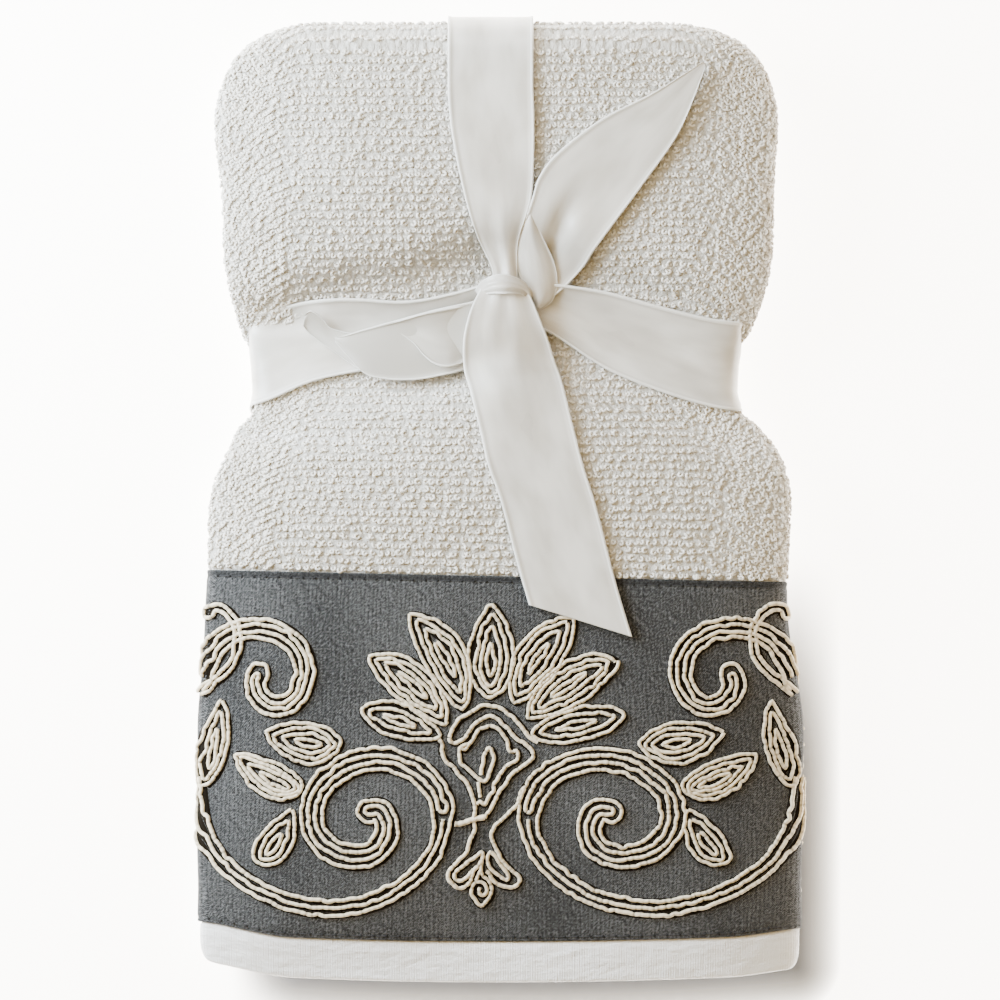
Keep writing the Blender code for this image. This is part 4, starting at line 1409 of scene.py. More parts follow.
@dataclass
class CordWork:
    """The sewn cord of the band: scrolls, leaves and a seven-petalled palmette, mirrored and repeated.

    Its drawing is in millimetres on the band's face: s from the palmette's own line and q up from the
    band's lower edge.
    """

    stack: FoldedStack
    axis_x: float = -3.7
    face: float = 1.15
    radius: float = 0.54
    lay: float = 0.38
    drop: float = 0.45
    spacing: float = 0.5
    cord_pitch: float = 1.78
    innermost: float = 0.68
    closing_in: float = 0.3
    leaf_cord: float = 0.9
    nip_pitch: float = 1.45
    # The bed is painted shadow: a dark sheet under every cord, a little wider and shifted towards its lower
    # right, for the shade between and beside the cords.
    bed_half: float = 0.84
    bed_shift: tuple[float, float] = (0.13, -0.13)
    bed_rise: float = 0.17
    bed_edge: float = 0.08
    bed_root: float = -0.2
    bed_step: float = 1.0
    stretch: float = 0.1
    stretch_from: float = 8.7
    closer_leaf: float = 1.6  # how much nearer the right-hand leaf under the scroll is
    left_axis: float = -72.0
    fold_gap: float = 2.9
    hook_share: float = 0.87  # of the pitch, between the hook's cords
    beside_share: float = 0.8
    nip_width: float = 0.34
    nip_spread: tuple[float, float] = (0.75, 1.3)  # of the nips' pitch
    nip_depth: tuple[float, float] = (0.2, 1.0)
    nipped: float = 0.24  # share of the radius that a full nip takes
    stray: float = 0.19
    band_foot: float = 0.8  # how far above the hem strip the cords begin

    # From the side fold along the bottom, up and round into the scroll
    SCROLL: ClassVar[Table] = (
        (-72.6, 41.5), (-72.0, 33.5), (-70.0, 27.0), (-66.0, 21.0), (-60.4, 16.1), (-53.0, 12.0),
        (-43.2, 9.2), (-33.5, 9.4), (-24.9, 11.9), (-17.3, 17.2), (-12.5, 23.6), (-10.6, 30.7),
        (-11.4, 36.6), (-14.6, 41.5), (-20.0, 44.9), (-26.5, 46.3), (-33.0, 45.2), (-38.4, 41.9),
        (-42.2, 37.7), (-43.6, 32.3), (-42.2, 27.4), (-38.4, 23.6), (-32.6, 21.8), (-27.5, 23.0),
        (-24.8, 26.9), (-24.9, 30.8), (-26.6, 33.4), (-29.3, 33.2),
    )
    STEM_END: ClassVar[int] = 12  # points of SCROLL in the stem of three cords
    HOOK: ClassVar[Table] = (
        (-71.6, 64.0), (-69.0, 71.0), (-65.4, 76.2), (-60.5, 78.5), (-55.6, 78.8), (-50.8, 77.4),
        (-46.7, 73.9), (-45.0, 69.0), (-45.4, 65.2), (-47.3, 61.4), (-50.2, 59.5), (-53.5, 59.8),
        (-56.2, 62.0), (-57.3, 65.2), (-56.4, 67.8),
    )
    BESIDE_HOOK: ClassVar[Table] = (
        (-70.4, 62.5), (-68.1, 65.2), (-64.3, 68.5), (-61.9, 72.8), (-61.4, 77.1), (-62.6, 80.9),
        (-65.4, 83.6), (-67.8, 83.9), (-68.6, 82.0),
    )
    LEAVES: ClassVar[tuple[Leaf, ...]] = (
        Leaf(-54.4, 52.9, -35.6, 50.1, 5.4, 4, 0.85, 0.7, -0.24),
        Leaf(-62.1, 47.4, -45.8, 39.0, 4.6, 4, 0.75, 0.5, -0.4),
        Leaf(-48.6, 33.4, -57.0, 20.6, 4.3, 3, 0.8, 0.55, 0.33),
        Leaf(-65.4, 60.6, -70.8, 39.3, 3.4, 3, 0.8, 0.7, 0.3),
    )
    PETALS: ClassVar[tuple[Leaf, ...]] = (
        Leaf(1.8, 84.9, 1.2, 61.7, 5.9, 4, 0.85, 0.62, 0.0),
        Leaf(-18.8, 82.4, -5.4, 58.4, 5.5, 4, 0.8, 0.8, 0.48),
        Leaf(-28.9, 71.7, -9.6, 55.0, 5.2, 4, 0.72, 0.8, 0.38),
        Leaf(-30.6, 58.4, -10.9, 51.8, 4.4, 3, 0.65, 0.85, 0.12),
        Leaf(22.0, 81.4, 7.1, 60.2, 5.7, 4, 0.75, 0.8, -0.28),
        Leaf(32.6, 70.7, 10.5, 56.5, 5.4, 4, 0.65, 0.75, -0.28),
        Leaf(34.5, 57.4, 11.8, 52.4, 4.3, 3, 0.65, 0.65, 0.0),
    )
    # The shield below the palmette, its stems and the small bloom, each line after its share of the thickness
    SHIELD: ClassVar[tuple[tuple[float, Table], ...]] = (
        (1.0, (
            (-8.8, 51.7), (-8.5, 52.7), (-7.4, 54.1), (-6.4, 55.8), (-4.7, 57.0), (-2.9, 58.3), (-1.1, 59.4),
            (1.0, 59.8), (3.1, 59.2), (5.2, 58.2), (7.3, 56.5), (8.8, 54.7), (10.1, 53.0), (11.3, 51.5),
            (13.1, 50.5)
        )),
        (1.0, (
            (-8.8, 51.5), (-8.5, 50.6), (-7.3, 50.2), (-5.9, 50.9), (-4.4, 52.2), (-3.4, 54.1), (-2.0, 55.6),
            (-0.5, 56.6), (1.3, 57.1), (2.8, 56.6), (4.0, 55.3), (5.2, 54.1), (6.4, 52.7), (8.0, 51.2),
            (9.8, 49.9), (11.3, 48.6), (11.9, 47.1), (11.8, 46.1), (10.7, 45.3), (8.8, 44.1), (7.3, 42.9),
            (5.8, 41.7), (5.1, 40.4), (3.9, 38.5), (3.1, 36.9), (1.9, 35.1), (1.0, 33.3), (-0.2, 31.6)
        )),
        (1.35, ((-0.2, 31.6), (-1.7, 31.3), (-3.5, 30.9), (-5.9, 30.4), (-7.6, 30.1))),
        (0.95, (
            (-0.9, 42.3), (-0.8, 44.1), (-0.4, 46.2), (0.1, 48.2), (0.9, 49.1), (1.8, 48.5), (2.3, 46.5),
            (1.6, 44.1), (1.1, 42.3), (0.4, 41.0), (-0.5, 40.4), (-2.0, 41.4), (-3.2, 42.6), (-4.7, 44.1),
            (-6.1, 45.6), (-6.4, 47.5), (-6.1, 49.0), (-4.9, 49.7), (-3.8, 50.3), (-3.1, 51.5), (-2.0, 52.9),
            (-0.5, 53.9), (1.3, 54.3), (3.1, 53.9), (4.3, 52.6), (5.2, 51.2), (5.8, 49.9), (6.4, 48.4),
            (7.7, 48.5), (8.3, 47.5), (8.0, 46.0), (6.1, 45.0), (4.6, 43.5), (3.7, 42.0), (2.5, 40.5),
            (1.9, 38.7), (1.0, 36.9), (0.1, 34.9), (-0.7, 34.9), (-1.2, 35.5), (-2.1, 34.9)
        )),
        (0.9, ((-3.8, 50.2), (-4.4, 49.0), (-5.2, 48.4), (-5.8, 49.0))),
        (0.9, ((-1.7, 40.5), (-1.6, 38.4), (-1.5, 36.7))),
        (1.0, (
            (-11.6, 50.9), (-10.8, 49.9), (-11.0, 48.2), (-10.4, 46.9), (-8.9, 45.3), (-7.7, 43.8),
            (-6.2, 42.0), (-4.7, 40.2), (-3.8, 38.1), (-3.1, 36.3), (-2.6, 34.2), (-2.5, 32.1), (-2.8, 29.9),
            (-2.9, 27.8), (-3.5, 25.7), (-4.7, 23.3), (-6.2, 21.2), (-7.9, 19.7), (-8.9, 17.9), (-8.8, 16.0),
            (-7.2, 14.6), (-4.9, 14.4), (-3.4, 16.3), (-2.0, 18.8), (-1.2, 20.3), (-0.5, 21.9), (-0.8, 23.2),
            (-2.0, 22.4), (-3.5, 21.2), (-5.3, 19.7), (-7.1, 18.2), (-7.5, 16.7), (-6.2, 15.9), (-4.6, 16.9),
            (-2.9, 18.6)
        )),
        (1.0, (
            (10.1, 38.7), (8.9, 36.4), (7.3, 34.0), (5.5, 32.2), (3.7, 30.6), (1.8, 28.4), (1.5, 27.2),
            (2.1, 25.3), (2.8, 23.6), (3.5, 22.7), (4.3, 20.9), (5.8, 19.4), (7.0, 17.9), (8.3, 17.1),
            (8.7, 16.3), (8.4, 15.2), (7.1, 14.3), (5.2, 14.2), (3.2, 15.0), (1.7, 16.4), (0.4, 18.2)
        )),
        (0.9, (
            (1.6, 23.0), (2.8, 21.8), (3.9, 20.0), (4.9, 18.5), (5.9, 17.1), (6.1, 16.5), (5.4, 15.8),
            (4.2, 16.3), (2.7, 17.5), (1.2, 19.3), (0.7, 21.2), (0.9, 22.3), (1.6, 23.0)
        )),
        (0.9, (
            (-0.9, 21.0), (-1.0, 18.6), (-0.1, 16.5), (1.2, 15.1), (1.6, 13.5), (1.4, 11.7), (0.1, 10.3),
            (-0.9, 9.5), (-2.1, 10.3), (-3.0, 11.7), (-3.4, 13.4), (-3.0, 14.5), (-1.8, 15.2), (-0.5, 15.0),
            (0.3, 13.9), (0.3, 12.7), (-0.5, 12.0), (-1.4, 12.2), (-1.8, 13.2), (-1.4, 14.1)
        )),
        (0.9, ((-1.1, 18.4), (-2.4, 15.9))),
    )

    @staticmethod
    def offset(line: Array, distance: Array | float) -> Array:
        """A line beside another, to its left by a distance, which may vary along it."""
        distance = np.broadcast_to(distance, len(line))[:, None]
        return line + distance * left_of(unit(np.gradient(line, axis=0)))

    def hairpin(self, centre: Array, distance: Array | float) -> Array:
        """A cord that runs beside a centre line, round its end and back on the other side.

        Args:
            centre: the line between the two runs.
            distance: how far the runs are from it, which may vary along it.

        Returns:
            The cord's line.
        """
        distance = np.broadcast_to(distance, len(centre))
        cap = half_circle(centre[-1], unit(centre[-1] - centre[-2]), distance[-1], 9)[1:-1]
        return np.vstack([self.offset(centre, distance), cap, self.offset(centre, -distance)[::-1]])

    def leaf(self, leaf: Leaf) -> list[Array]:
        """The nested rings of a leaf or petal, the innermost wound to a curl.

        Args:
            leaf: its table row.

        Returns:
            One closed line for each ring, from the outside in.
        """
        tip, base = np.array([leaf.tip_s, leaf.tip_q]), np.array([leaf.base_s, leaf.base_q])
        ahead = unit(base - tip)
        left = left_of(ahead)
        t = np.linspace(0, 1, 241)
        belly = t**leaf.tip_power * (1 - t) ** leaf.base_power
        widest = leaf.half_width - self.radius * 0.6
        half = widest * belly / belly.max()
        place = t * np.linalg.norm(base - tip)
        slant = np.sqrt(1 + np.gradient(half, place) ** 2) * (1 - self.closing_in * np.clip(t - 0.4, 0, 1))
        pitch = (widest - self.innermost) / (leaf.rings - 1)
        rings = []
        for number in range(leaf.rings):
            width = half - number * pitch * slant
            inside = np.flatnonzero(width > 0.2) if number else np.arange(len(t))
            if len(inside) < 12:
                break
            first, last = inside[0], inside[-1]
            at = first + (last - first) * (0.5 - 0.5 * np.cos(np.linspace(0, math.pi, 15)))
            middle = tip + ahead * np.interp(at, np.arange(len(t)), place)[:, None]
            bent = leaf.fuller * np.interp(at, np.arange(len(t)), half)
            reach = np.interp(at, np.arange(len(t)), np.clip(width, 0, None))
            reach[[0, -1]] = 0
            one = middle + left * (bent + reach)[:, None]
            other = middle + left * (bent - reach)[:, None]
            rings.append(smoothed(np.vstack([one, other[-2:0:-1]]), self.spacing, closed=True))
        return rings

    def scrolls(self) -> list[Array]:
        """The cords of the left half's stem and scroll and of its hook."""
        whole = smoothed(np.array(self.SCROLL), self.spacing)
        turn = np.array(self.SCROLL[self.STEM_END - 1])
        split = int(np.argmin(np.linalg.norm(whole - turn, axis=1)))
        widening = 1.0 + 0.5 * soft_step(np.arange(len(whole)), split - 6, split + 10)
        inner = whole[split + 6 :]
        start_cap = half_circle(inner[0], unit(inner[0] - inner[1]), 0.5 * self.cord_pitch, 7)[1:]
        hook = smoothed(np.array(self.HOOK), self.spacing)
        beside = smoothed(np.array(self.BESIDE_HOOK), self.spacing)
        hook_pitch = self.cord_pitch * self.hook_share
        return [
            self.hairpin(whole, self.cord_pitch * widening),
            whole[: split + 2],
            np.vstack([self.hairpin(inner, 0.5 * self.cord_pitch), start_cap]),
            self.hairpin(hook, 1.5 * hook_pitch),
            self.hairpin(hook[6:-2], 0.5 * hook_pitch),
            self.hairpin(beside, 0.5 * self.cord_pitch * self.beside_share),
        ]

    def mirrored(self, line: Array) -> Array:
        """The line on the right half, which is worked a little wider but for the leaf under its scroll."""
        s = -line[:, 0]
        s = s + self.stretch * np.clip(s - self.stretch_from, 0, None)
        if 46 < s.min() and s.max() < 64 and line[:, 1].max() < 36:
            s = s - self.closer_leaf
        return np.stack([s, line[:, 1]], axis=-1)

    def drawing(self) -> list[tuple[Array, float]]:
        """Every cord on the front panel and round its two folds, with its share of the full thickness."""
        halves = [(line, 1.0) for line in self.scrolls()]
        for leaf in self.LEAVES:
            halves += [(line, self.leaf_cord) for line in self.leaf(leaf)]
        lines = []
        right_axis = -self.left_axis + self.stretch * (-self.left_axis - self.stretch_from)
        for line, thick in halves:
            right = self.mirrored(line)
            for side, axis in ((line, self.left_axis), (right, right_axis)):
                lines.append((side, thick))
                lines += [(part, thick) for part in self.round_fold(side, axis)]
        for petal in self.PETALS:
            lines += [(line, self.leaf_cord) for line in self.leaf(petal)]
        lines += [(smoothed(np.array(line), self.spacing), thick) for thick, line in self.SHIELD]
        return lines

    def round_fold(self, line: Array, axis: float) -> list[Array]:
        """The line mirrored round a fold, where it is clear of the cords that it meets there.

        Args:
            line: a cord of the front panel.
            axis: s of the fold.

        Returns:
            The parts of the mirrored line that are clear.
        """
        clear = (line[:, 0] - axis) * math.copysign(1, -axis) > self.fold_gap
        runs = np.split(np.arange(len(line)), np.flatnonzero(np.diff(clear.astype(int))) + 1)
        other = np.stack([2 * axis - line[:, 0], line[:, 1]], axis=-1)
        return [other[run] for run in runs if clear[run[0]] and len(run) > 3]

    def flat_place(self, line: Array) -> tuple[Array, Array]:
        """u and v of a line of the drawing, which allows for how the stack's end has bowed and narrowed.

        Args:
            line: s and q of its points.

        Returns:
            u and v of each point on the flat cloth.
        """
        s = self.stack
        target = s.hem_y + s.hem_strip + line[:, 1] - self.drop
        y = target
        for _ in range(4):
            left, right = s.half_widths(y)
            x = (self.axis_x + line[:, 0] - (right - left) / 2) * s.half_width / ((left + right) / 2)
            y = target - s.bow(np.clip(x, -s.half_width, s.half_width), y)
        return s.front_start + x - s.left_bend_x, y - s.hem_y

    def shown(self, u: Array) -> Array:
        """Where a cord shows: on the front panel and round its two bends."""
        s = self.stack
        return (u > s.flap_run - 2.5) & (u < s.front_end + s.right_bend)

    def laid(self) -> tuple[Array, Array, Array, list[tuple[int, int]]]:
        """Points, radii and fullness of every cord, and the lengths between them."""
        random = np.random.default_rng(23)
        points, radii, fulls, edges = [], [], [], []
        count = 0
        for line, thick in self.drawing():
            line = smoothed(line, self.spacing)
            length = np.arange(len(line)) * self.spacing
            steps = random.uniform(*self.nip_spread, int(length[-1] / self.nip_pitch) + 3)
            nips = np.cumsum(steps) * self.nip_pitch
            nearest = np.abs(length[:, None] - nips[None, :]).min(axis=1)
            depth = np.interp(length, nips, random.uniform(*self.nip_depth, len(nips)))
            full = 1 - depth * np.exp(-((nearest / self.nip_width) ** 2))
            side = np.interp(length, nips, random.normal(0, self.stray, len(nips)))
            u, v = self.flat_place(self.offset(line, side))
            keep = self.shown(u) & (v > self.stack.hem_strip + self.band_foot)
            rise = self.face + self.lay + 0.10 * full
            place = self.stack.placed(self.stack.place(u, v, rise))
            index = np.full(len(line), -1)
            index[keep] = np.arange(keep.sum()) + count
            count += int(keep.sum())
            points.append(place[keep])
            radii.append((thick * self.radius * (1 - self.nipped + self.nipped * full) * METRES)[keep])
            fulls.append(full[keep])
            edges += [(int(a), int(b)) for a, b in zip(index[:-1], index[1:]) if a >= 0 and b >= 0]
        return np.vstack(points), np.concatenate(radii), np.concatenate(fulls), edges

    def shadow_bed(self) -> Thing:
        """Painted shadow: a low dark sheet that lies under every cord and a little beyond its sides."""
        s = self.stack
        points, faces, count = [], [], 0
        for line, _ in self.drawing():
            line = smoothed(line, self.bed_step)
            u, v = self.flat_place(line)
            shown = self.shown(u) & (v > s.hem_strip + 1.0)
            for run in np.split(np.arange(len(line)), np.flatnonzero(np.diff(shown.astype(int))) + 1):
                if not shown[run[0]] or len(run) < 3:
                    continue
                beside = [self.offset(line, side)[run] for side in (self.bed_half, 0.0, -self.bed_half)]
                sides = [self.flat_place(side + np.array(self.bed_shift)) for side in beside]
                for rises in ((self.bed_edge, self.bed_rise, self.bed_edge), (self.bed_root,) * 3):
                    rows = [s.place(a, b, self.face + rise) for (a, b), rise in zip(sides, rises)]
                    points.append(np.stack(rows, axis=1).reshape(-1, 3))
                faces += [tuple(k + count for k in face) for face in sheet_faces(len(run), 3)]
                count += 6 * len(run)
        return mesh_object("cord_shadow_bed", s.placed(np.vstack(points)), faces)

    def build(self) -> list[Thing]:
        """Make the cord as one piece, and the dark sheet of painted shadow under it as another."""
        points, radii, fulls, edges = self.laid()
        thing = mesh_object("band_cords", points, [], edges)
        point_attribute(thing, "thick", radii)
        point_attribute(thing, "full", fulls)
        process = Process("band_cords")
        sides = process.size("Sides", 6, "NodeSocketInt")
        line = process.node("GeometryNodeMeshToCurve", None, {0: process.geometry})
        thick = process.named("thick")
        sockets = {"Curve": line.outputs[0], "Radius": thick}
        sized = process.node("GeometryNodeSetCurveRadius", None, sockets)
        tube = process.tube(sized.outputs[0], sides, 1.0, **{"Fill Caps": True, "Scale": thick})
        material = EcruCord().material()
        cords = dressed(process.run(thing, tube, material), material)
        return [cords, dressed(self.shadow_bed(), CordShadowSheet().material())]


# ---- the ribbon


@dataclass
class RibbonTie:
    """The satin ribbon: over the folded top, round the waist, the knot, a flat loop and two free ends."""

    stack: FoldedStack
    width: float = 21.7
    length: float = 790.0
    body: float = 0.22
    selvedge: float = 0.7
    solid: float = 1.0
    clearance: float = 0.6
    waist_clearance: float = 0.9
    waist_middle: float = 8.0
    waist_gathers: float = 0.45
    waist_sink: float = 2.6  # how far the upper edge lies lower at the left, past the loop
    knot_gathers: float = 0.6
    knot_crown: float = 1.8
    side_reach: tuple[float, float] = (-62.9, 60.4)
    back_z: float = 1.0
    knot_x: float = 1.0
    knot_y: float = 52.6
    parts: list[tuple[Array, bool, float]] = field(default_factory=list)  # points, ring or not, dull side and painted shade

    # The rows of these tables: x, y and rise above the cloth of one edge, and then of the other
    DOWN_TAIL: ClassVar[Table] = (
        (-4.6, 53.4, 7.4, 6.4, 53.4, 7.4), (-6.6, 49.6, 8.4, 8.0, 50.4, 7.8),
        (-8.0, 45.8, 8.8, 9.9, 45.8, 7.2), (-9.2, 40.0, 8.2, 11.9, 40.8, 5.6),
        (-9.0, 33.0, 6.0, 13.8, 34.8, 3.6), (-7.6, 28.2, 3.8, 15.4, 30.2, 2.4),
        (-5.0, 17.7, 1.6, 18.6, 17.4, 1.5), (-3.1, 9.3, 1.2, 20.9, 8.6, 1.3),
        (0.2, 0.0, 1.2, 24.2, -2.0, 1.4), (4.4, -16.0, 1.3, 29.0, -20.6, 1.5),
        (7.2, -25.6, 1.5, 32.9, -33.6, 1.7),
    )
    UP_TAIL: ClassVar[Table] = (
        (1.0, 58.5, 4.6, 9.0, 49.5, 4.4), (3.6, 63.4, 4.0, 14.6, 52.2, 4.2),
        (7.8, 75.0, 2.6, 20.4, 58.0, 3.2), (9.7, 80.9, 2.3, 23.2, 62.2, 2.8),
        (14.4, 87.0, 1.8, 27.0, 67.4, 2.2), (25.4, 95.4, 1.7, 36.2, 79.8, 1.9),
        (38.0, 101.8, 2.2, 45.0, 92.8, 2.2), (50.6, 109.6, 2.8, 51.2, 108.7, 2.8),
    )
    LOOP_OVER: ClassVar[Table] = (
        (-2.0, 51.0, 6.0, -3.6, 38.5, 4.4), (-6.3, 50.1, 7.2, -8.0, 33.4, 4.2),
        (-15.6, 48.1, 8.2, -15.6, 31.3, 3.8), (-21.9, 46.4, 8.4, -21.9, 30.4, 3.6),
        (-28.3, 44.6, 8.2, -28.3, 30.6, 3.6), (-34.7, 42.8, 7.4, -33.6, 32.0, 3.9),
        (-38.7, 41.5, 6.6, -37.4, 36.0, 4.6), (-41.1, 40.9, 5.6, -40.9, 40.2, 5.4),
    )
    LOOP_UNDER: ClassVar[Table] = (
        (-48.7, 46.2, 4.0, -49.1, 44.2, 3.8), (-47.4, 47.7, 4.2, -48.0, 42.6, 3.2),
        (-44.6, 46.3, 4.2, -45.2, 40.2, 3.0), (-41.9, 43.4, 3.8, -42.0, 38.0, 3.0),
        (-34.1, 42.0, 4.0, -34.4, 32.8, 3.0), (-25.4, 44.0, 4.4, -25.4, 31.4, 3.2),
        (-13.8, 46.5, 4.8, -13.8, 33.0, 3.6), (-5.0, 49.8, 5.0, -5.0, 37.8, 4.4),
    )
    LOOP_TURN: ClassVar[Table] = (
        (-2.4, 50.8, 5.6, -4.0, 38.6, 3.8), (-6.4, 49.9, 6.6, -8.4, 35.2, 5.0),
        (-10.9, 48.7, 8.0, -12.4, 33.6, 7.4), (-15.0, 47.9, 8.8, -15.8, 34.1, 8.0),
        (-19.0, 47.0, 9.0, -18.6, 36.1, 8.0), (-23.1, 45.8, 8.8, -21.9, 39.9, 7.7),
        (-26.6, 44.8, 8.4, -25.6, 42.2, 7.5), (-29.8, 43.9, 8.0, -29.4, 43.4, 7.6),
    )
    OVER_TOP: ClassVar[Table] = (
        (-1.8, 53.0, 6.2, 4.0, 53.0, 6.2), (-1.6, 56.6, 6.8, 4.2, 56.6, 6.8),
        (-2.6, 60.0, 6.2, 4.2, 60.0, 6.2), (-5.6, 66.0, 4.8, 4.8, 66.0, 4.8),
        (-8.8, 76.0, 2.4, 7.9, 76.0, 2.4), (-12.1, 92.0, 1.4, 8.6, 92.0, 1.4),
        (-13.0, 103.0, 1.4, 8.3, 103.0, 1.4),
    )
    WRAP: ClassVar[Table] = (
        (-6.0, 52.6, 4.6, -5.0, 50.8, 4.6), (-4.6, 54.6, 7.4, -3.6, 51.8, 7.8),
        (-2.4, 56.0, 9.2, -1.5, 52.0, 9.8), (0.6, 56.6, 10.0, 0.8, 51.9, 10.7),
        (3.5, 55.9, 9.6, 3.2, 52.0, 10.2), (6.2, 54.4, 8.0, 5.6, 51.7, 8.6),
        (8.2, 51.6, 5.4, 7.2, 50.2, 5.8),
    )
    PUFF: ClassVar[Table] = (
        (9.0, 48.9, 3.6, 10.0, 48.3, 3.4), (7.8, 50.9, 5.0, 12.6, 50.0, 4.0),
        (6.2, 54.0, 5.6, 14.0, 52.9, 4.3), (4.7, 57.2, 5.8, 14.2, 56.4, 4.5),
        (4.1, 60.6, 5.6, 13.4, 60.0, 4.4), (4.2, 64.2, 4.8, 11.8, 63.6, 4.0),
        (5.2, 68.0, 3.5, 10.0, 67.2, 3.1), (6.6, 72.0, 2.0, 8.6, 71.4, 1.8),
    )

    def strip(
        self,
        rows: Table,
        steps: int,
        dull_side_and_shade: float = 0.0,
        folds: float = 0.0,
        crown: float = 0.0,
        reach: float = 12.0,
        valley: float = 0.0,
    ) -> None:
        """Add a length of ribbon that lies over the cloth, from a table of its two edges.

        Args:
            rows: the edges at places along it.
            steps: points along it.
            dull_side_and_shade: how much of the satin's dull side shows, 0 to 1, which also paints the strip
                darker as shade.
            folds: height of the gathers at its first end.
            crown: how far its middle stands up at its first end.
            reach: length over which the gathers and crown die away.
            valley: depth of one soft lengthwise trough along its middle.
        """
        part = self.part_across()[None, :]
        one, other = self.read_edges(rows, steps)
        x, y, rise = (a[:, None] + (b - a)[:, None] * part for a, b in zip(one, other))
        gone = lengths_along(np.stack([x.mean(axis=1), y.mean(axis=1)], axis=-1))[:, None]
        gathers = folds * np.sin(part * 6.2 * math.pi + gone * 0.11)
        rise = rise + np.exp(-gone / reach) * (gathers + crown * np.sin(part * math.pi))
        trough = np.exp(-(((part - 0.5) / 0.11) ** 2)) * np.exp(-(((gone - 15) / 9) ** 2))
        rise = rise - valley * trough
        self.parts.append((np.stack([x, y, self.stack.face_height(x, y) + rise], axis=-1), False, dull_side_and_shade))

    @staticmethod
    def read_edges(rows: Table, steps: int) -> tuple[list[Array], list[Array]]:
        """x, y and rise of both edges at steps along a table of them."""
        place = np.linspace(0, len(rows) - 1, steps)
        values = [smooth_between(place, np.arange(len(rows)), column) for column in np.array(rows).T]
        return values[:3], values[3:]

    @staticmethod
    def part_across() -> Array:
        """Places across the ribbon, closer at its two selvedges."""
        edge = np.array([0, 0.012, 0.026, 0.045])
        return np.concatenate([edge, np.linspace(0.09, 0.91, 12), 1 - edge[::-1]])

    def cloth_points(self) -> Array:
        """Places all over the cloth's two faces, as the solids have them."""
        s = self.stack
        towel = TerryTowel(s, fine_step=1.6, coarse_step=2.5)
        v, u = np.meshgrid(towel.along(), towel.across(), indexing="ij")
        faces = [s.place(u, v, w) for w in (-s.cloth / 2, s.cloth / 2)]
        return np.concatenate([face.reshape(-1, 3) for face in faces])

    def taut_outline(self, flat: Array, directions: Array, clearance: float) -> Array:
        """Corners of the taut line about flat points, on the sides that the directions face.

        Args:
            flat: the points.
            directions: angles in radians, in order.
            clearance: how far outside the points it runs.

        Returns:
            The corners, one between each two directions.
        """
        normals = np.stack([np.cos(directions), np.sin(directions)], axis=-1)
        reach = (flat @ normals.T).max(axis=0) + clearance
        pairs = np.stack([normals[:-1], normals[1:]], axis=1)
        reaches = np.stack([reach[:-1], reach[1:]], axis=1)
        return np.linalg.solve(pairs, reaches[..., None])[..., 0]

    def split_at_level(self, outline: Array, level: float) -> tuple[Array, Array]:
        """The parts of a convex outline above and below a level, each from one crossing to the other."""
        above = outline[:, 1] > level
        start = np.flatnonzero(above & ~np.roll(above, 1))[0]
        turned = np.roll(outline, -start, axis=0)
        high, low = turned[turned[:, 1] > level], turned[turned[:, 1] <= level]

        def crossing(one: Array, other: Array) -> Array:
            """Where the line from one point to another meets the level."""
            return one + (other - one) * (level - one[1]) / (other[1] - one[1])

        right, left = crossing(low[-1], high[0]), crossing(high[-1], low[0])
        return np.vstack([right, high, left]), np.vstack([left, low, right])

    def tie_width_line(self, x: Array, across: float, on_face: Array) -> Array:
        """Y of a line along the ribbon round the waist: across is -1 and 1 at its edges."""
        places, _, above, below = np.array(self.stack.TIE_LINE).T
        above, below = smooth_between(x, places, above), smooth_between(x, places, below)
        half, back_y = self.width / 2, self.stack.back_y
        centre = back_y + (self.stack.tie_line(x) + (above - below) / 2 - back_y) * on_face
        return centre + (half + ((above + below) / 2 - half) * on_face) * across

    def waist(self, steps: int = 150) -> None:
        """Add the ribbon round the waist, taut about the cloth, with soft gathers towards the knot."""
        cloth = self.cloth_points()
        level = self.waist_middle
        upper = soft_step(cloth[:, 2], level - 3, level + 3)
        directions = np.linspace(0, 2 * math.pi, 91)
        grid = []
        for part in self.part_across():
            across = 1 - 2 * part
            near = np.abs(cloth[:, 1] - self.tie_width_line(cloth[:, 0], across, upper)) < 1.5
            flat = cloth[near][:, [0, 2]]
            outline = self.taut_outline(flat, directions, self.waist_clearance + self.solid / 2)
            halves = self.split_at_level(outline, level)
            line = np.concatenate([evenly_spaced(half, steps // 2, False) for half in halves])
            x, z = np.clip(line[:, 0], *self.side_reach), np.maximum(line[:, 1], self.back_z)
            y = self.tie_width_line(x, across, soft_step(z, level - 3, level + 3))
            grid.append(np.stack([x, y, z], axis=-1))
        grid = np.stack(grid, axis=1)
        for _ in range(3):
            grid = (np.roll(grid, 1, axis=0) + 2 * grid + np.roll(grid, -1, axis=0)) / 4
        face = soft_step(grid[..., 2], level, level + 6)
        sink = soft_step(-grid[..., 0], 42, 54) * soft_step(grid[..., 1], 41.5, 45.5)
        grid[..., 2] -= self.waist_sink * face * sink
        beside = np.exp(-(((grid[..., 0] - self.knot_x) / 15) ** 2))
        part = self.part_across()[None, :]
        gathers = beside * np.sin(part * 5.5 * math.pi + grid[..., 0] * 0.12)
        grid[..., 2] += self.waist_gathers * face * gathers
        self.parts.append((grid, True, 0.0))

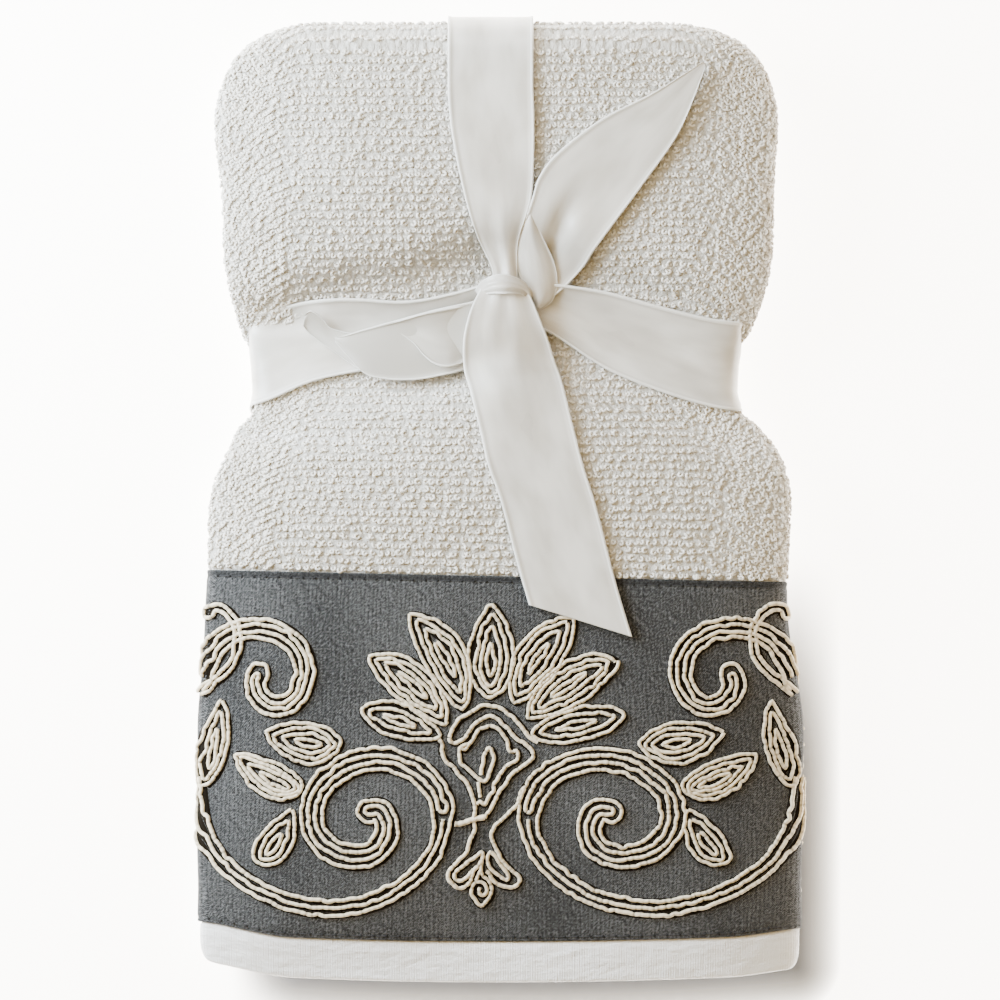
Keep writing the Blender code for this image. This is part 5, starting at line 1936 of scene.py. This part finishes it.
    def over_top(self) -> None:
        """Add the ribbon from the knot up the face, over the folded top and down the back."""
        (x1, y1, rise), (x2, _, _) = self.read_edges(self.OVER_TOP, 30)
        z1 = self.stack.face_height((x1 + x2) / 2, y1) + rise
        cloth = self.cloth_points()
        near = (cloth[:, 0] > x1[-1]) & (cloth[:, 0] < x2[-1]) & (cloth[:, 1] > y1[-1] - 12)
        directions = np.linspace(0.47, -0.47, 41) * math.pi
        over = self.taut_outline(cloth[near][:, 1:], directions, self.clearance + self.solid / 2)
        over = over[over[:, 0] > y1[-1] + 4]
        over = evenly_spaced(over[over[:, 1] > self.back_z + 0.5], 26)
        back_y = np.linspace(over[-1, 0] - 1.5, self.stack.back_y + 4, 18)
        y = np.concatenate([y1, over[:, 0], back_y])
        z = np.concatenate([z1, over[:, 1], np.full(len(back_y), self.back_z)])
        more = len(y) - len(y1)
        left = np.concatenate([x1, np.full(more, x1[-1])])[:, None]
        right = np.concatenate([x2, np.full(more, x2[-1])])[:, None]
        part = self.part_across()[None, :]
        gone = (y - self.knot_y)[:, None]
        near_knot = np.where(z[:, None] > 12, np.exp(-np.clip(gone, 0, None) / 13), 0)
        gathers = self.knot_gathers * np.sin(part * 3.3 * math.pi + 0.9)
        lift = near_knot * (gathers + self.knot_crown * np.sin(part * math.pi))
        x = left + (right - left) * part
        wide = np.ones_like(part)
        self.parts.append((np.stack([x, y[:, None] * wide, z[:, None] + lift], axis=-1), False, 0.0))

    def body_points(self, grid: Array, ring: bool) -> tuple[Array, Array]:
        """The outer and inner faces of a thin ribbon about a grid of points, thicker at its selvedges.

        Args:
            grid: rows of points along the ribbon, each from edge to edge.
            ring: whether the last row joins the first.

        Returns:
            Two grids of points.
        """
        around = np.roll(grid, -1, axis=0) - np.roll(grid, 1, axis=0)
        along = around if ring else np.gradient(grid, axis=0)
        normal = np.cross(np.gradient(grid, axis=1), along)
        normal /= np.maximum(np.linalg.norm(normal, axis=-1, keepdims=True), 1e-9)
        part = self.part_across()
        inwards = np.minimum(part, 1 - part)
        full = np.where(inwards < 0.001, 0.45, 1.0)
        depth = full * (self.body + (self.selvedge - self.body) * (1 - soft_step(inwards, 0.02, 0.045))) / 2
        return grid + normal * depth[None, :, None], grid - normal * depth[None, :, None]

    def build(self, towel: Thing) -> list[Thing]:
        """Make the whole ribbon as one piece."""
        self.waist()
        self.over_top()
        # The loop's strips show more of the darker dull side, partly real and partly painted shade.
        self.strip(self.LOOP_UNDER, 44, dull_side_and_shade=0.7, crown=0.3, reach=60)
        self.strip(self.LOOP_OVER, 44, dull_side_and_shade=0.9, crown=1.0, reach=60)
        self.strip(self.LOOP_TURN, 36, dull_side_and_shade=0.6, crown=-1.4, reach=30)
        self.strip(self.UP_TAIL, 60, dull_side_and_shade=0.15, crown=0.4, valley=2.8)
        self.strip(self.DOWN_TAIL, 80, folds=0.3, crown=1.6)
        self.strip(self.PUFF, 44, dull_side_and_shade=0.1, crown=2.4, reach=26)
        self.strip(self.WRAP, 36, folds=0.12, crown=1.3, reach=60)
        points, faces, lays, count = [], [], [], 0
        part = self.part_across()
        for grid, ring, dull_side_and_shade in self.parts:
            outer, inner = self.body_points(grid, ring)
            rows, columns = grid.shape[:2]
            faces += [tuple(k + count for k in face) for face in sheet_faces(rows, columns, ring)]
            gone = lengths_along(grid[:, columns // 2])
            lay = np.stack(np.broadcast_arrays(part[None, :], gone[:, None], dull_side_and_shade), axis=-1).reshape(-1, 3)
            points += [outer.reshape(-1, 3), inner.reshape(-1, 3)]
            lays += [lay, lay]
            count += 2 * rows * columns
        thing = mesh_object("ribbon", self.stack.placed(np.vstack(points)), faces)
        point_attribute(thing, "lay", np.vstack(lays))
        dressed(thing, WhiteSatin().material())
        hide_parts("ribbon_tie")
        return [thing]


# ---- the studio


class Lamp(NamedTuple):
    """A square area light that faces the towel, in metres and watts."""

    name: str
    at: Triple
    size: float
    power: float
    colour: Colour


@dataclass
class Studio:
    """The pale floor, the soft lights and the camera above the towel's face."""

    picture_width: float = 0.249
    face_height: float = 0.024
    camera_height: float = 2.4
    camera_over: tuple[float, float] = (-0.0001, -0.0003)
    film: float = 36.0
    floor_half: float = 3.0
    floor_z: float = -0.0004
    air: Colour = (1.0, 0.80, 0.38)
    air_strength: float = 0.22

    LAMPS: ClassVar[tuple[Lamp, ...]] = (
        Lamp("key", (-0.36, 0.18, 0.23), 0.3, 9.4, (0.78, 0.90, 1.0)),
        Lamp("soft", (-0.25, 0.15, 0.8), 0.5, 4.0, (1.0, 0.84, 0.56)),
        Lamp("back", (-0.02, 0.5, 0.42), 0.25, 1.0, (1.0, 0.97, 0.93)),
        Lamp("fill", (0.45, -0.1, 0.6), 0.6, 1.1, (1.0, 0.52, 0.05)),
    )

    def build(self) -> None:
        """Make the floor, the lights and the camera."""
        corners = [(-1, -1), (1, -1), (1, 1), (-1, 1)]
        points = np.array([(x * self.floor_half, y * self.floor_half, self.floor_z) for x, y in corners])
        floor = mesh_object("floor", points, [(0, 1, 2, 3)])
        floor.data.materials.append(PaleFloor().material())
        world = bpy.data.worlds.new("studio")
        world.use_nodes = True
        air = world.node_tree.nodes["Background"]
        air.inputs["Color"].default_value = (*self.air, 1)
        air.inputs["Strength"].default_value = self.air_strength
        bpy.context.scene.world = world
        for lamp in self.LAMPS:
            self.light(lamp)
        self.camera()

    @staticmethod
    def light(lamp: Lamp) -> None:
        """Add a lamp, turned towards the towel."""
        data = bpy.data.lights.new(lamp.name, "AREA")
        data.size, data.energy, data.color = lamp.size, lamp.power, lamp.colour
        thing = bpy.data.objects.new(lamp.name, data)
        bpy.context.collection.objects.link(thing)
        thing.location = lamp.at
        thing.visible_camera = False
        thing.rotation_mode = "QUATERNION"
        thing.rotation_quaternion = (-Vector(lamp.at)).to_track_quat("-Z", "Y")

    def camera(self) -> None:
        """Add the camera, square to the towel's face."""
        data = bpy.data.cameras.new("camera")
        data.sensor_width = self.film
        data.lens = self.film * self.camera_height / self.picture_width
        camera = bpy.data.objects.new("camera", data)
        bpy.context.collection.objects.link(camera)
        camera.location = (*self.camera_over, self.face_height + self.camera_height)
        bpy.context.scene.camera = camera


def main() -> None:
    """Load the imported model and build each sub-assembly."""
    logging.basicConfig(level=logging.INFO, format="%(message)s")
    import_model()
    stack = FoldedStack()
    towel = TerryTowel(stack).build()
    cords = CordWork(stack).build()
    band = GreyBand(stack).build(cords, towel[0])
    ribbon = RibbonTie(stack).build(towel[0])
    for piece in (*towel, *cords, *band, *ribbon):
        triangles = sum(len(face.vertices) - 2 for face in piece.data.polygons)
        lowest = min(vertex.co.z for vertex in piece.data.vertices) / METRES
        LOG.info("%s: %d triangles, lowest point %.2f mm", piece.name, triangles, lowest)
    Studio().build()


if __name__ == "__main__":
    main()
